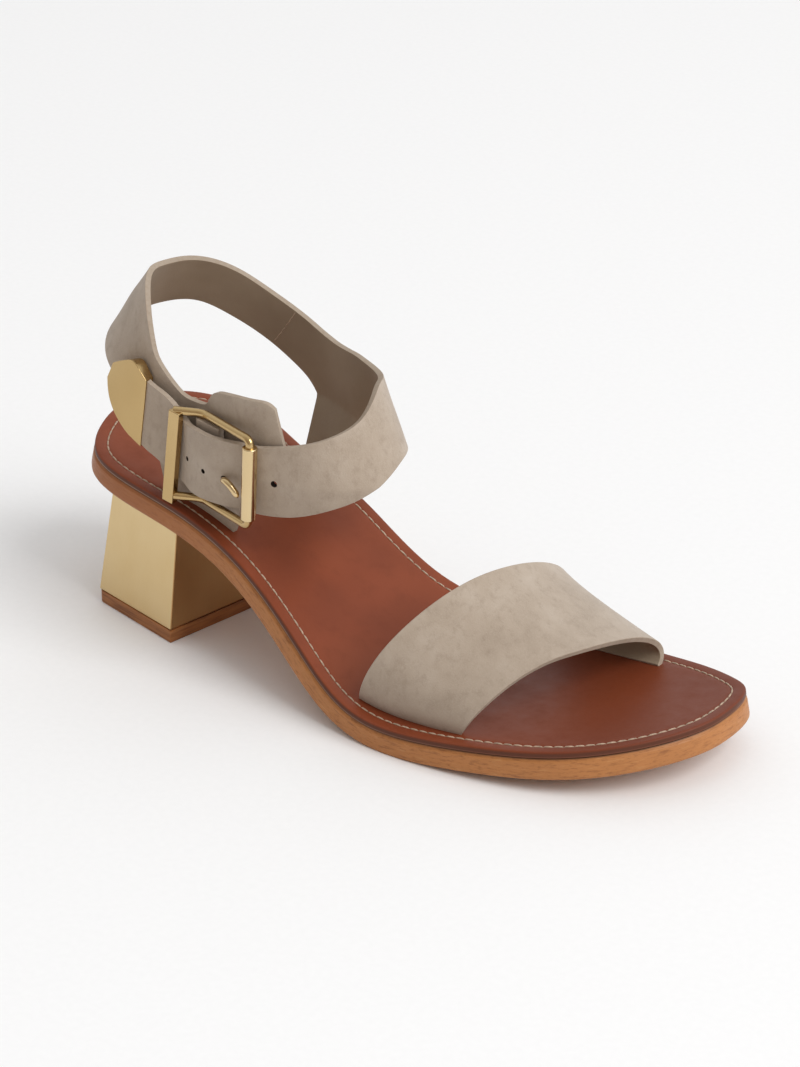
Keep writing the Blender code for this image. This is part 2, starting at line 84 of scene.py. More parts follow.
INSOLE_STEPS = [
    Step(-0.5, 2.2), Step(-0.1, 2.05), Step(0.0, 1.8), Step(0.0, 0.5), Step(-0.12, 0.22), Step(-0.4, 0.06),
    Step(-0.9, 0.0), Step(-2.0, 0.0), Step(-3.3, 0.0), Step(-3.8, 0.1), Step(-4.3, 0.32), Step(-4.8, 0.1),
    Step(-5.3, 0.0), Step(-7.0, 0.0), Step(-9.5, 0.0),
]
INSOLE_BROWN = (0.225, 0.05, 0.018)
INSOLE_DARK = (0.15, 0.033, 0.012)
INSOLE_WARM = (0.265, 0.064, 0.024)
INSOLE_SIDE_BROWN = (0.1, 0.031, 0.015)
INSOLE_RIM_PALE = (0.3, 0.2, 0.145)
INSOLE_RIM_BROWN = (0.17, 0.06, 0.032)


def spline(knots, values):
    """Natural cubic curve through the values, carried on straight past both ends."""
    knots = np.asarray(knots, float)
    values = np.asarray(values, float)
    gaps = np.diff(knots)
    rises = np.diff(values, axis=0)
    count = len(knots)
    system = np.eye(count)
    right = np.zeros(values.shape)
    for i in range(1, count - 1):
        system[i, i - 1:i + 2] = gaps[i - 1], 2 * (gaps[i - 1] + gaps[i]), gaps[i]
        right[i] = 3 * (rises[i] / gaps[i] - rises[i - 1] / gaps[i - 1])
    bend = np.linalg.solve(system, right)

    def at(place):
        inside = min(max(place, knots[0]), knots[-1])
        i = min(max(int(np.searchsorted(knots, inside)) - 1, 0), count - 2)
        start = rises[i] / gaps[i] - gaps[i] * (2 * bend[i] + bend[i + 1]) / 3
        curve = (bend[i + 1] - bend[i]) / (3 * gaps[i])
        step = inside - knots[i]
        slope = start + step * (2 * bend[i] + 3 * curve * step)
        return values[i] + step * (start + step * (bend[i] + step * curve)) + (place - inside) * slope

    return at


edge_turns = [math.acos(1 - 2 * e.along / SOLE_LENGTH) for e in SOLE_EDGES]
outer_edge = spline(edge_turns, [e.outer for e in SOLE_EDGES])
inner_edge = spline(edge_turns, [e.inner for e in SOLE_EDGES])
bed_height = spline([b.along for b in FOOTBED], [b.height for b in FOOTBED])


def sole_ring(outward, depth):
    """Outline of the sole at one step of its side, from the heel's back by the outer side to the toe."""
    turns = [math.pi * i / SOLE_STATIONS for i in range(SOLE_STATIONS + 1)]
    outline = [(t, outer_edge(t)) for t in turns] + [(t, inner_edge(t)) for t in turns[-2:0:-1]]
    flat = [Vector((SOLE_LENGTH * (1 - math.cos(t)) / 2, y)) for t, y in outline]
    ring = []
    for i, here in enumerate(flat):
        ahead = (flat[(i + 1) % len(flat)] - flat[i - 1]).normalized()
        x, y = here + outward * Vector((ahead.y, -ahead.x))
        slope = bed_height(x + 0.5) - bed_height(x - 0.5)
        square = math.hypot(1, slope)
        ring.append((x + depth * slope / square, y, max(bed_height(x) - depth / square, 0.0)))
    return ring


widest = np.array(sole_ring(*WIDEST_STEP))
centre = (widest.min(axis=0) + widest.max(axis=0)) / 2
low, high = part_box("outsole")
PLACE = Vector(((low.x + high.x) / 2 - centre[0] * MM, (low.y + high.y) / 2 - centre[1] * MM, 0))


def turn_outward(mesh):
    """Turn all the faces of a closed mesh outward."""
    work = bmesh.new()
    work.from_mesh(mesh)
    bmesh.ops.recalc_face_normals(work, faces=work.faces)
    work.to_mesh(mesh)
    work.free()


def new_piece(name, points, faces, flow=None, closed=True):
    """Smooth piece from points in millimetres. Its flow map has one pair of lengths for each point."""
    mesh = bpy.data.meshes.new(name)
    mesh.from_pydata([tuple(Vector(p) * MM + PLACE) for p in points], [], faces)
    if closed:
        turn_outward(mesh)
    if flow is not None:
        layer = mesh.uv_layers.new(name="flow")
        for loop in mesh.loops:
            layer.data[loop.index].uv = flow[loop.vertex_index]
    mesh.shade_smooth()
    piece = bpy.data.objects.new(name, mesh)
    bpy.context.scene.collection.objects.link(piece)
    return piece


def ring_faces(rings, sides):
    """Faces of the wall between rings of points given one after another."""
    faces = []
    for start in range(0, (rings - 1) * sides, sides):
        for i in range(sides):
            j = (i + 1) % sides
            faces.append((start + i, start + j, start + sides + j, start + sides + i))
    return faces


def loft(name, rings):
    """Closed body through rings of equal length, its ends filled by strips across.

    Its flow map is in metres, along the rings and down them.
    """
    size = len(rings[0])
    half = size // 2
    points = [p for ring in rings for p in ring]
    faces = ring_faces(len(rings), size)
    for start in (0, (len(rings) - 1) * size):
        for i in range(half):
            strip = [i, i + 1, (size - i - 1) % size, (size - i) % size]
            faces.append([start + n for n in dict.fromkeys(strip)])
    around = np.cumsum([0] + [math.dist(a, b) for a, b in zip(rings[0], rings[0][1:])])
    down = np.cumsum([0] + [math.dist(a[0], b[0]) for a, b in zip(rings, rings[1:])])
    flow = [(around[i] * MM, d * MM) for d in down for i in range(size)]
    return new_piece(name, points, faces, flow)


def finish_for(name, colour, roughness, **sockets):
    """New Principled material with its plain values set on the shader's own sockets."""
    finish = bpy.data.materials.new(name)
    finish.use_nodes = True
    surface = finish.node_tree.nodes["Principled BSDF"]
    surface.inputs["Base Color"].default_value = (*colour, 1)
    surface.inputs["Roughness"].default_value = roughness
    for socket, value in sockets.items():
        surface.inputs[socket.replace("_", " ")].default_value = value
    return finish, finish.node_tree, surface


def add_node(tree, kind, **values):
    """New node with its settings and its unlinked inputs."""
    node = tree.nodes.new(kind)
    for name, value in values.items():
        if hasattr(node, name):
            setattr(node, name, value)
        else:
            node.inputs[name.replace("_", " ")].default_value = value
    return node


def speckle(tree, coords, scale, detail, roughness=0.55, stretch=(1, 1, 1)):
    """Noise on the piece's coordinates, stretched along its axes."""
    mapping = add_node(tree, "ShaderNodeMapping", Scale=stretch)
    noise = add_node(tree, "ShaderNodeTexNoise", Scale=scale, Detail=detail, Roughness=roughness)
    tree.links.new(coords, mapping.inputs["Vector"])
    tree.links.new(mapping.outputs["Vector"], noise.inputs["Vector"])
    return noise.outputs["Fac"]


def ramp(tree, value, stops):
    """Colours along a value, as (place, colour) stops."""
    node = tree.nodes.new("ShaderNodeValToRGB")
    while len(node.color_ramp.elements) < len(stops):
        node.color_ramp.elements.new(0.5)
    for element, (place, colour) in zip(node.color_ramp.elements, stops):
        element.position = place
        element.color = (*colour, 1)
    tree.links.new(value, node.inputs["Fac"])
    return node.outputs["Color"]


def mix(tree, share, first, second):
    """Mix by a linked share of two colours, each a link or a plain colour."""
    node = add_node(tree, "ShaderNodeMix", data_type="RGBA")
    tree.links.new(share, node.inputs[0])
    for socket, colour in ((node.inputs[6], first), (node.inputs[7], second)):
        if isinstance(colour, bpy.types.NodeSocket):
            tree.links.new(colour, socket)
        else:
            socket.default_value = (*colour, 1)
    return node.outputs[2]


def remap(tree, value, source, target):
    """Value carried from its source range to a target range, held at its ends."""
    node = add_node(tree, "ShaderNodeMapRange", From_Min=source[0], From_Max=source[1],
                    To_Min=target[0], To_Max=target[1])
    tree.links.new(value, node.inputs["Value"])
    return node.outputs["Result"]


def bump(tree, surface, height, distance, strength):
    """Bump on a surface from a height, added over any bump it already has."""
    node = add_node(tree, "ShaderNodeBump", Strength=strength, Distance=distance)
    tree.links.new(height, node.inputs["Height"])
    if surface.inputs["Normal"].is_linked:
        tree.links.new(surface.inputs["Normal"].links[0].from_socket, node.inputs["Normal"])
    tree.links.new(node.outputs["Normal"], surface.inputs["Normal"])


footbed = loft("footbed", [sole_ring(*step) for step in INSOLE_STEPS])
insole_leather, tree, surface = finish_for("insole_leather", INSOLE_BROWN, roughness=0.45,
                                           Specular_IOR_Level=0.22)
coords = tree.nodes.new("ShaderNodeTexCoord").outputs["Object"]
cloudy = speckle(tree, coords, scale=20.0, detail=2.0)
rubbed = speckle(tree, coords, scale=160.0, detail=5.0, roughness=0.6)
pores = speckle(tree, coords, scale=1500.0, detail=2.0)
tone = ramp(tree, cloudy, [(0.25, INSOLE_DARK), (0.5, INSOLE_BROWN), (0.8, INSOLE_WARM)])
tone = mix(tree, remap(tree, rubbed, (0.5, 0.75), (0.0, 0.3)), tone, INSOLE_DARK)
place = tree.nodes.new("ShaderNodeSeparateXYZ")
tree.links.new(coords, place.inputs["Vector"])
# Painted shade: the footbed darkens toward the toe.
tone = mix(tree, remap(tree, place.outputs["X"], (0.02, 0.1), (0.0, 0.75)), tone, INSOLE_DARK)
flow_uv = add_node(tree, "ShaderNodeUVMap", uv_map="flow").outputs["UV"]
split = tree.nodes.new("ShaderNodeSeparateXYZ")
tree.links.new(flow_uv, split.inputs["Vector"])
tone = mix(tree, remap(tree, split.outputs["Y"], (0.0017, 0.0024), (1.0, 0.0)), tone, INSOLE_SIDE_BROWN)
toeward = remap(tree, place.outputs["X"], (-0.02, 0.07), (0.0, 1.0))
rim_tone = mix(tree, toeward, INSOLE_RIM_PALE, INSOLE_RIM_BROWN)
tone = mix(tree, remap(tree, split.outputs["Y"], (0.0007, 0.0010), (0.85, 0.0)), tone, rim_tone)
tree.links.new(tone, surface.inputs["Base Color"])
tree.links.new(remap(tree, rubbed, (0.3, 0.7), (0.4, 0.54)), surface.inputs["Roughness"])
bump(tree, surface, pores, distance=0.00005, strength=0.4)
footbed.data.materials.append(insole_leather)
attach(footbed, "root")
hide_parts("insole")

# Footbed stitching: one line of waxed cream thread sewn into a channel a little way in from the edge.
# Each stitch is a short round bar of thread, dipping at both ends where it goes through the leather.
STITCH_INSET = 4.3
STITCH_PITCH = 3.3
STITCH_LENGTH = 3.3
STITCH_THICK = 0.62
STITCH_SINK = 0.14
STITCH_RINGS = 7
STITCH_SIDES = 6
STITCH_END = 0.06
STITCH_DIP = 0.3
TWIST_DARK = 0.6
THREAD_CREAM = (0.56, 0.415, 0.3)


def thread_finish(name, colour):
    """Waxed thread, twisted, a little darker in its twists."""
    thread, tree, surface = finish_for(name, colour, roughness=0.7)
    coords = tree.nodes.new("ShaderNodeTexCoord").outputs["Object"]
    fibre = speckle(tree, coords, scale=900.0, detail=2.0)
    dark = tuple(TWIST_DARK * c for c in colour)
    tree.links.new(ramp(tree, fibre, [(0.35, dark), (0.65, colour)]), surface.inputs["Base Color"])
    bump(tree, surface, fibre, distance=0.00008, strength=0.6)
    return thread


def tube_faces(rings, sides):
    """Faces of a tube of points given ring after ring, with both ends closed."""
    ends = [tuple(range(sides)), tuple(range((rings - 1) * sides, rings * sides))]
    return ring_faces(rings, sides) + ends


def stitch_mesh(name, length, thick):
    """One stitch along X: a round thread whose two ends taper and dip."""
    points = []
    for share in np.linspace(-1, 1, STITCH_RINGS):
        radius = thick / 2 * math.sqrt(max(1 - abs(share) ** 3, STITCH_END))
        sink = -thick * STITCH_DIP * abs(share) ** 4
        for a in np.linspace(0, 2 * math.pi, STITCH_SIDES + 1)[:-1]:
            point = Vector((share * length / 2, radius * math.cos(a), radius * math.sin(a) + sink))
            points.append(tuple(point * MM))
    mesh = bpy.data.meshes.new(name)
    mesh.from_pydata(points, [], tube_faces(STITCH_RINGS, STITCH_SIDES))
    turn_outward(mesh)
    mesh.shade_smooth()
    return bpy.data.objects.new(name, mesh)


def sewn_line(name, path, ups, stitch, pitch, thread, closed=False):
    """Stitches laid along a path of points in millimetres, each with its top towards the given side."""
    line = bpy.data.meshes.new(name)
    count = len(path)
    edges = [(i, i + 1) for i in range(count - 1)] + ([(count - 1, 0)] if closed else [])
    line.from_pydata([tuple(Vector(p) * MM + PLACE) for p in path], edges, [])
    upward = line.attributes.new("up", "FLOAT_VECTOR", "POINT")
    for i, up in enumerate(ups):
        upward.data[i].vector = up
    seam = bpy.data.objects.new(name, line)
    bpy.context.scene.collection.objects.link(seam)
    tree = bpy.data.node_groups.new(name, "GeometryNodeTree")
    tree.interface.new_socket("Path", in_out="INPUT", socket_type="NodeSocketGeometry")
    pitch_input = tree.interface.new_socket("Pitch", in_out="INPUT", socket_type="NodeSocketFloat")
    tree.interface.new_socket("Stitches", in_out="OUTPUT", socket_type="NodeSocketGeometry")
    source = tree.nodes.new("NodeGroupInput")
    result = tree.nodes.new("NodeGroupOutput")
    curve = tree.nodes.new("GeometryNodeMeshToCurve")
    spaced = tree.nodes.new("GeometryNodeResampleCurve")
    spaced.mode = "LENGTH"
    up = tree.nodes.new("GeometryNodeInputNamedAttribute")
    up.data_type = "FLOAT_VECTOR"
    up.inputs["Name"].default_value = "up"
    tangent = tree.nodes.new("GeometryNodeInputTangent")
    along = tree.nodes.new("FunctionNodeAlignRotationToVector")
    along.axis = "X"
    upright = tree.nodes.new("FunctionNodeAlignRotationToVector")
    upright.axis = "Z"
    upright.pivot_axis = "X"
    shape = tree.nodes.new("GeometryNodeObjectInfo")
    shape.inputs["Object"].default_value = stitch
    placed = tree.nodes.new("GeometryNodeInstanceOnPoints")
    real = tree.nodes.new("GeometryNodeRealizeInstances")
    coloured = tree.nodes.new("GeometryNodeSetMaterial")
    coloured.inputs["Material"].default_value = thread
    for start, end in (
        (source.outputs["Path"], curve.inputs["Mesh"]),
        (curve.outputs["Curve"], spaced.inputs["Curve"]),
        (source.outputs["Pitch"], spaced.inputs["Length"]),
        (tangent.outputs["Tangent"], along.inputs["Vector"]),
        (along.outputs["Rotation"], upright.inputs["Rotation"]),
        (up.outputs["Attribute"], upright.inputs["Vector"]),
        (spaced.outputs["Curve"], placed.inputs["Points"]),
        (shape.outputs["Geometry"], placed.inputs["Instance"]),
        (upright.outputs["Rotation"], placed.inputs["Rotation"]),
        (placed.outputs["Instances"], real.inputs["Geometry"]),
        (real.outputs["Geometry"], coloured.inputs["Geometry"]),
        (coloured.outputs["Geometry"], result.inputs["Stitches"]),
    ):
        tree.links.new(start, end)
    sewing = seam.modifiers.new("stitches", "NODES")
    sewing.node_group = tree
    sewing[pitch_input.identifier] = pitch * MM
    graph = bpy.context.evaluated_depsgraph_get()
    sewn = bpy.data.meshes.new_from_object(seam.evaluated_get(graph))
    seam.modifiers.remove(sewing)
    seam.data = sewn
    sewn.shade_smooth()
    return seam


cream_thread = thread_finish("cream_thread", THREAD_CREAM)
bed_stitch = stitch_mesh("bed_stitch", STITCH_LENGTH, STITCH_THICK)
channel = sole_ring(-STITCH_INSET, STITCH_SINK)
upward = [(0, 0, 1)] * len(channel)
footbed_stitches = sewn_line("footbed_stitches", channel, upward, bed_stitch, STITCH_PITCH, cream_thread,
                             closed=True)
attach(footbed_stitches, "root")

# Outsole: thick leather, bent to the last, with its side trimmed, dyed honey brown and waxed.
# A groove under its upper edge parts it from the footbed, and painted shade darkens the groove.
OUTSOLE_STEPS = [
    Step(-1.4, 2.45), Step(-0.55, 2.4), Step(-0.5, 2.5), Step(-0.45, 2.95), Step(-0.2, 3.2), Step(0.08, 3.4),
    Step(0.15, 3.8), Step(0.2, 5.4), Step(0.28, 7.2), WIDEST_STEP, Step(0.2, 8.9), Step(-0.1, 9.35),
    Step(-0.6, 9.65), Step(-1.4, 9.7), Step(-6.0, 9.7),
]
SOLE_HONEY = (0.45, 0.185, 0.058)
SOLE_PALE = (0.53, 0.265, 0.1)
SOLE_BROWN = (0.27, 0.102, 0.034)
SOLE_HEELWARD = (0.32, 0.11, 0.036)
GROOVE_PAINTED_SHADE = (0.11, 0.05, 0.026)
outsole_side = loft("outsole_side", [sole_ring(*step) for step in OUTSOLE_STEPS])
sole_leather, tree, surface = finish_for("sole_leather", SOLE_HONEY, roughness=0.45, Specular_IOR_Level=0.33)
flow_uv = add_node(tree, "ShaderNodeUVMap", uv_map="flow").outputs["UV"]
streaks = speckle(tree, flow_uv, scale=260.0, detail=5.0, roughness=0.65, stretch=(0.6, 3.0, 1))
flecks = speckle(tree, flow_uv, scale=1000.0, detail=3.0, roughness=0.6, stretch=(0.4, 1.5, 1))
clouds = speckle(tree, flow_uv, scale=30.0, detail=2.0)
tone = ramp(tree, streaks, [(0.32, SOLE_BROWN), (0.46, SOLE_HONEY), (0.58, SOLE_HONEY), (0.74, SOLE_PALE)])
tone = mix(tree, remap(tree, flecks, (0.54, 0.7), (0.0, 0.7)), tone, SOLE_BROWN)
tone = mix(tree, remap(tree, clouds, (0.4, 0.7), (0.0, 0.2)), tone, SOLE_BROWN)
split = tree.nodes.new("ShaderNodeSeparateXYZ")
tree.links.new(flow_uv, split.inputs["Vector"])
place = tree.nodes.new("ShaderNodeSeparateXYZ")
tree.links.new(tree.nodes.new("ShaderNodeTexCoord").outputs["Object"], place.inputs["Vector"])
tone = mix(tree, remap(tree, place.outputs["X"], (-0.09, -0.02), (0.8, 0.0)), tone, SOLE_HEELWARD)
# Painted shade: the groove under the footbed's edge is darkened.
tone = mix(tree, remap(tree, split.outputs["Y"], (0.0009, 0.0015), (1.0, 0.0)), tone, GROOVE_PAINTED_SHADE)
tree.links.new(tone, surface.inputs["Base Color"])
tree.links.new(remap(tree, flecks, (0.3, 0.7), (0.36, 0.58)), surface.inputs["Roughness"])
bump(tree, surface, flecks, distance=0.00012, strength=0.5)
bump(tree, surface, streaks, distance=0.0002, strength=0.3)
outsole_side.data.materials.append(sole_leather)
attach(outsole_side, "root")
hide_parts("outsole")

# Heel: a light block faced on its flat sides with gold metal plate, screwed on through the sole's seat.
# The plate is faintly brushed up and down. The front plate is painted a deeper bronze: painted shade and a
# painted reflection of the shaded floor under the sole.
HEEL_CENTRE = (35.0, -1.5)
HEEL_TURN_DEG = -5.7
Block = namedtuple("Block", "height front rear front_half rear_half")
HEEL_FOOT = Block(4.8, 24.1, -16.1, 34.7, 32.1)
HEEL_SEAT = Block(60.0, 24.1, -10.0, 28.3, 25.8)
HEEL_LET_IN = 8.0
HEEL_CORNER = 0.5
HEEL_BEVEL = 0.5
CORNER_POINTS = 7
SEAT_GUESS = 0.7
SEAT_ROUNDS = 8
BEVEL_STEPS = 3
SHARP_DEG = 50
FRONT_FACING = 0.8
LIFT_HEIGHT = 4.5
GOLD_PALE = (0.71, 0.545, 0.3)
GOLD_DEEP = (0.655, 0.48, 0.24)
# Painted shade: the front plate's deeper bronze stands in for the shade it sits in and the dark it reflects.
PAINTED_SHADE_BRONZE = (0.45, 0.25, 0.1)
PAINTED_SHADE_BRONZE_PALE = (0.52, 0.31, 0.14)


def heel_outline(block, proud, corner):
    """Outline of the heel at one level, with its two rear corners rounded."""
    front = block.front + proud
    rear = block.rear - proud
    turn = math.radians(HEEL_TURN_DEG)
    points = [(front, -block.front_half - proud)]
    for side in (-1, 1):
        middle = (rear + corner, side * (block.rear_half + proud - corner))
        arc = [(middle[0] - corner * math.sin(a), middle[1] + side * corner * math.cos(a))
               for a in np.linspace(0, math.pi / 2, CORNER_POINTS)]
        points += arc if side < 0 else arc[::-1]
    points.append((front, block.front_half + proud))
    return [(HEEL_CENTRE[0] + x * math.cos(turn) - y * math.sin(turn),
             HEEL_CENTRE[1] + x * math.sin(turn) + y * math.cos(turn)) for x, y in points]


def seat_point(foot, seat):
    """Point where one upright edge of the heel ends, let into the sole's underside."""
    share = SEAT_GUESS
    for _ in range(SEAT_ROUNDS):
        x = foot[0] + (seat[0] - foot[0]) * share
        share = (bed_height(x) - HEEL_LET_IN - HEEL_FOOT.height) / (HEEL_SEAT.height - HEEL_FOOT.height)
    return x, foot[1] + (seat[1] - foot[1]) * share, bed_height(x) - HEEL_LET_IN


def block_between(name, low, high):
    """Closed block between two outlines of points."""
    size = len(low)
    ends = [tuple(range(size)), tuple(range(size, 2 * size))]
    return new_piece(name, low + high, ends + ring_faces(2, size))


def soften(piece, width):
    """Round the sharp edges of a piece and keep its flat faces flat."""
    soft = piece.modifiers.new("soft_edges", "BEVEL")
    soft.width = width * MM
    soft.segments = BEVEL_STEPS
    soft.limit_method = "ANGLE"
    soft.angle_limit = math.radians(SHARP_DEG)
    soft.harden_normals = True


def settle(piece):
    """Turn a piece's modifiers into its own mesh."""
    graph = bpy.context.evaluated_depsgraph_get()
    mesh = bpy.data.meshes.new_from_object(piece.evaluated_get(graph))
    piece.modifiers.clear()
    piece.data = mesh


def gold_finish(name, deep, pale, roughness, brushed):
    """Gold plate with faint cloudiness and fine brush lines."""
    gold, tree, surface = finish_for(name, pale, roughness, Metallic=1.0)
    coords = tree.nodes.new("ShaderNodeTexCoord").outputs["Object"]
    haze = speckle(tree, coords, scale=30.0, detail=2.0)
    lines = speckle(tree, coords, scale=1600.0, detail=2.0, roughness=0.5, stretch=brushed)
    tree.links.new(ramp(tree, haze, [(0.3, deep), (0.65, pale)]), surface.inputs["Base Color"])
    shine = remap(tree, lines, (0.3, 0.7), (roughness * 0.9, roughness * 1.12))
    tree.links.new(shine, surface.inputs["Roughness"])
    bump(tree, surface, lines, distance=0.00001, strength=0.2)
    return gold


gold_heel = gold_finish("gold_heel", GOLD_DEEP, GOLD_PALE, roughness=0.34, brushed=(1, 1, 0.03))
front_painted_shade = gold_finish("front_painted_shade", PAINTED_SHADE_BRONZE, PAINTED_SHADE_BRONZE_PALE, roughness=0.4, brushed=(1, 1, 0.03))
heel_foot = heel_outline(HEEL_FOOT, 0, HEEL_CORNER)
heel_seat = heel_outline(HEEL_SEAT, 0, HEEL_CORNER)
heel_plates = block_between("heel_plates", [(x, y, LIFT_HEIGHT) for x, y in heel_foot],
                            [seat_point(foot, seat) for foot, seat in zip(heel_foot, heel_seat)])
heel_plates.data.materials.append(gold_heel)
heel_plates.data.materials.append(front_painted_shade)
# Faces turned to the front get the painted shade bronze.
for side in heel_plates.data.polygons:
    side.material_index = 1 if side.normal.x > FRONT_FACING else 0
soften(heel_plates, HEEL_BEVEL)
settle(heel_plates)
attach(heel_plates, "root")
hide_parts("heel_block")

# Top lift: stacked brown leather nailed under the heel, a little proud of it.
# Its side is trimmed square and waxed, and shows the layers it is built from.
LIFT_PROUD = 0.4
LIFT_CORNER = 3.0
LIFT_BEVEL = 0.35
LIFT_BROWN = (0.335, 0.13, 0.04)
LIFT_DARK = (0.16, 0.055, 0.019)
LIFT_WARM = (0.38, 0.165, 0.06)
lift_outline = heel_outline(HEEL_FOOT, LIFT_PROUD, LIFT_CORNER)
top_lift = block_between("top_lift", [(x, y, 0) for x, y in lift_outline],
                         [(x, y, LIFT_HEIGHT) for x, y in lift_outline])
lift_leather, tree, surface = finish_for("lift_leather", LIFT_BROWN, roughness=0.5, Specular_IOR_Level=0.3)
coords = tree.nodes.new("ShaderNodeTexCoord").outputs["Object"]
layers = speckle(tree, coords, scale=300.0, detail=4.0, roughness=0.6, stretch=(0.25, 0.25, 4.0))
tone = ramp(tree, layers, [(0.3, LIFT_DARK), (0.55, LIFT_BROWN), (0.8, LIFT_WARM)])
tree.links.new(tone, surface.inputs["Base Color"])
bump(tree, surface, layers, distance=0.0001, strength=0.4)
top_lift.data.materials.append(lift_leather)
soften(top_lift, LIFT_BEVEL)
settle(top_lift)
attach(top_lift, "root")
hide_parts("heel_lift")

# Toe band: one wide strip of taupe suede over a thin lining, bent over the toes and glued into two slits.
# Its cut edges are rubbed round, and it dips a little where the hand has pressed it.
Arch = namedtuple("Arch", "outer_x outer_y inner_x inner_y rise outer_full inner_full"
                          " push outer_lean inner_lean crown outer_bulge inner_bulge")
BAND_REAR = Arch(141.3, -41.1, 152.5, 35.2, 39.1, 2.82, 3.44, 18.2, 1.0, 1.45, -5.7, 4.25, 5.15)
BAND_FRONT = Arch(180.7, -38.2, 205.0, 33.8, 21.1, 2.32, 1.39, 7.95, 1.68, -0.55, -8.3, 1.4, 8.25)
BAND_THICKNESS = 2.0
BAND_RIM = 0.7
BAND_ACROSS = 120
BAND_ALONG = 36
BULGE_POWER = 0.8
SINK = 1.2
SUEDE_TAUPE = (0.4, 0.322, 0.25)
SUEDE_LIGHT = (0.46, 0.382, 0.308)
SUEDE_DULL = (0.345, 0.273, 0.208)
SUEDE_DARK = (0.275, 0.21, 0.156)
LINING_BROWN = (0.345, 0.27, 0.19)
LINING_DARK = (0.285, 0.218, 0.15)
CUT_EDGE = (0.385, 0.315, 0.248)
Dent = namedtuple("Dent", "share_across share_along reach depth")
BAND_DENTS = [
    Dent(0.2, 0.75, 0.16, -0.5),
    Dent(0.42, 0.3, 0.22, 0.45),
    Dent(0.62, 0.7, 0.2, -0.4),
    Dent(0.12, 0.25, 0.14, 0.5),
    Dent(0.8, 0.4, 0.18, 0.4),
]
DENT_STRETCH = 0.35
DENT_FALL = 3


def arch_point(arch, share):
    """Point of the toe band's arch at a share of the way from the outer to the inner slit."""
    turn = (2 * share - 1) * math.pi / 2
    outer = share < 0.5
    side = -1 if outer else 1
    reach = arch.crown - arch.outer_y if outer else arch.inner_y - arch.crown
    lift = max(math.cos(turn), 0) ** (2 / (arch.outer_full if outer else arch.inner_full))
    flat_y = arch.crown + reach * math.sin(turn)
    over = (flat_y - arch.outer_y) / (arch.inner_y - arch.outer_y)
    lean = arch.outer_lean if outer else arch.inner_lean
    x = arch.outer_x + (arch.inner_x - arch.outer_x) * over + arch.push * lift * (lean + (1 - lean) * lift)
    bulge = arch.outer_bulge if outer else arch.inner_bulge
    y = flat_y + side * bulge * math.sin(math.pi * lift ** BULGE_POWER)
    base = bed_height(arch.outer_x) * (1 - over) + bed_height(arch.inner_x) * over
    return Vector((x, y, base - SINK * (1 - lift) + arch.rise * lift))


def sheet_faces(columns, rows):
    """Faces of a grid of points given column after column, facing outward."""
    return [(i * rows + j, i * rows + j + 1, (i + 1) * rows + j + 1, (i + 1) * rows + j)
            for i in range(columns - 1) for j in range(rows - 1)]


def suede_finish(name):
    """Brushed suede: short nap with cloudy light and dark patches, no shine but a soft sheen at a slant."""
    suede, tree, surface = finish_for(name, SUEDE_TAUPE, roughness=0.95, Specular_IOR_Level=0.15,
                                      Sheen_Weight=0.25, Sheen_Roughness=0.6)
    coords = tree.nodes.new("ShaderNodeTexCoord").outputs["Object"]
    patches = speckle(tree, coords, scale=75.0, detail=4.0, roughness=0.6)
    brushed = speckle(tree, coords, scale=330.0, detail=5.0, roughness=0.7, stretch=(1.0, 1.0, 0.7))
    nap = speckle(tree, coords, scale=1900.0, detail=3.0, roughness=0.7)
    tone = ramp(tree, patches, [(0.25, SUEDE_DULL), (0.52, SUEDE_TAUPE), (0.8, SUEDE_LIGHT)])
    tone = mix(tree, remap(tree, brushed, (0.5, 0.72), (0.0, 0.55)), tone, SUEDE_DARK)
    tone = mix(tree, remap(tree, nap, (0.5, 0.75), (0.0, 0.5)), tone, SUEDE_LIGHT)
    tree.links.new(tone, surface.inputs["Base Color"])
    bump(tree, surface, nap, distance=0.0002, strength=0.6)
    bump(tree, surface, brushed, distance=0.0003, strength=0.3)
    return suede


def edge_finish(name, dark, pale):
    """Cut edge, a little fibrous: the suede's own raw edge, or painted shade on the walls of the strap
    holes.
    """
    edge, tree, surface = finish_for(name, pale, roughness=0.9, Specular_IOR_Level=0.15)
    coords = tree.nodes.new("ShaderNodeTexCoord").outputs["Object"]
    fibre = speckle(tree, coords, scale=700.0, detail=3.0)
    tree.links.new(ramp(tree, fibre, [(0.3, dark), (0.6, pale)]), surface.inputs["Base Color"])
    bump(tree, surface, fibre, distance=0.00006, strength=0.4)
    return edge


def lining_finish(name):
    """Smooth lining leather in a darker taupe brown."""
    lining, tree, surface = finish_for(name, LINING_BROWN, roughness=0.6, Specular_IOR_Level=0.3)
    coords = tree.nodes.new("ShaderNodeTexCoord").outputs["Object"]
    grain = speckle(tree, coords, scale=1100.0, detail=3.0)
    shade = speckle(tree, coords, scale=45.0, detail=3.0)
    tone = ramp(tree, shade, [(0.3, LINING_DARK), (0.65, LINING_BROWN)])
    tree.links.new(tone, surface.inputs["Base Color"])
    bump(tree, surface, grain, distance=0.0001, strength=0.5)
    return lining


def thicken(piece, thickness, rim):
    """Give a sheet its thickness, its second finish inside, its third on the rim, and round edges."""
    wall = piece.modifiers.new("thickness", "SOLIDIFY")
    wall.thickness = thickness * MM
    wall.offset = -1
    wall.use_even_offset = True
    wall.material_offset = 1
    wall.material_offset_rim = 2
    soften(piece, rim)


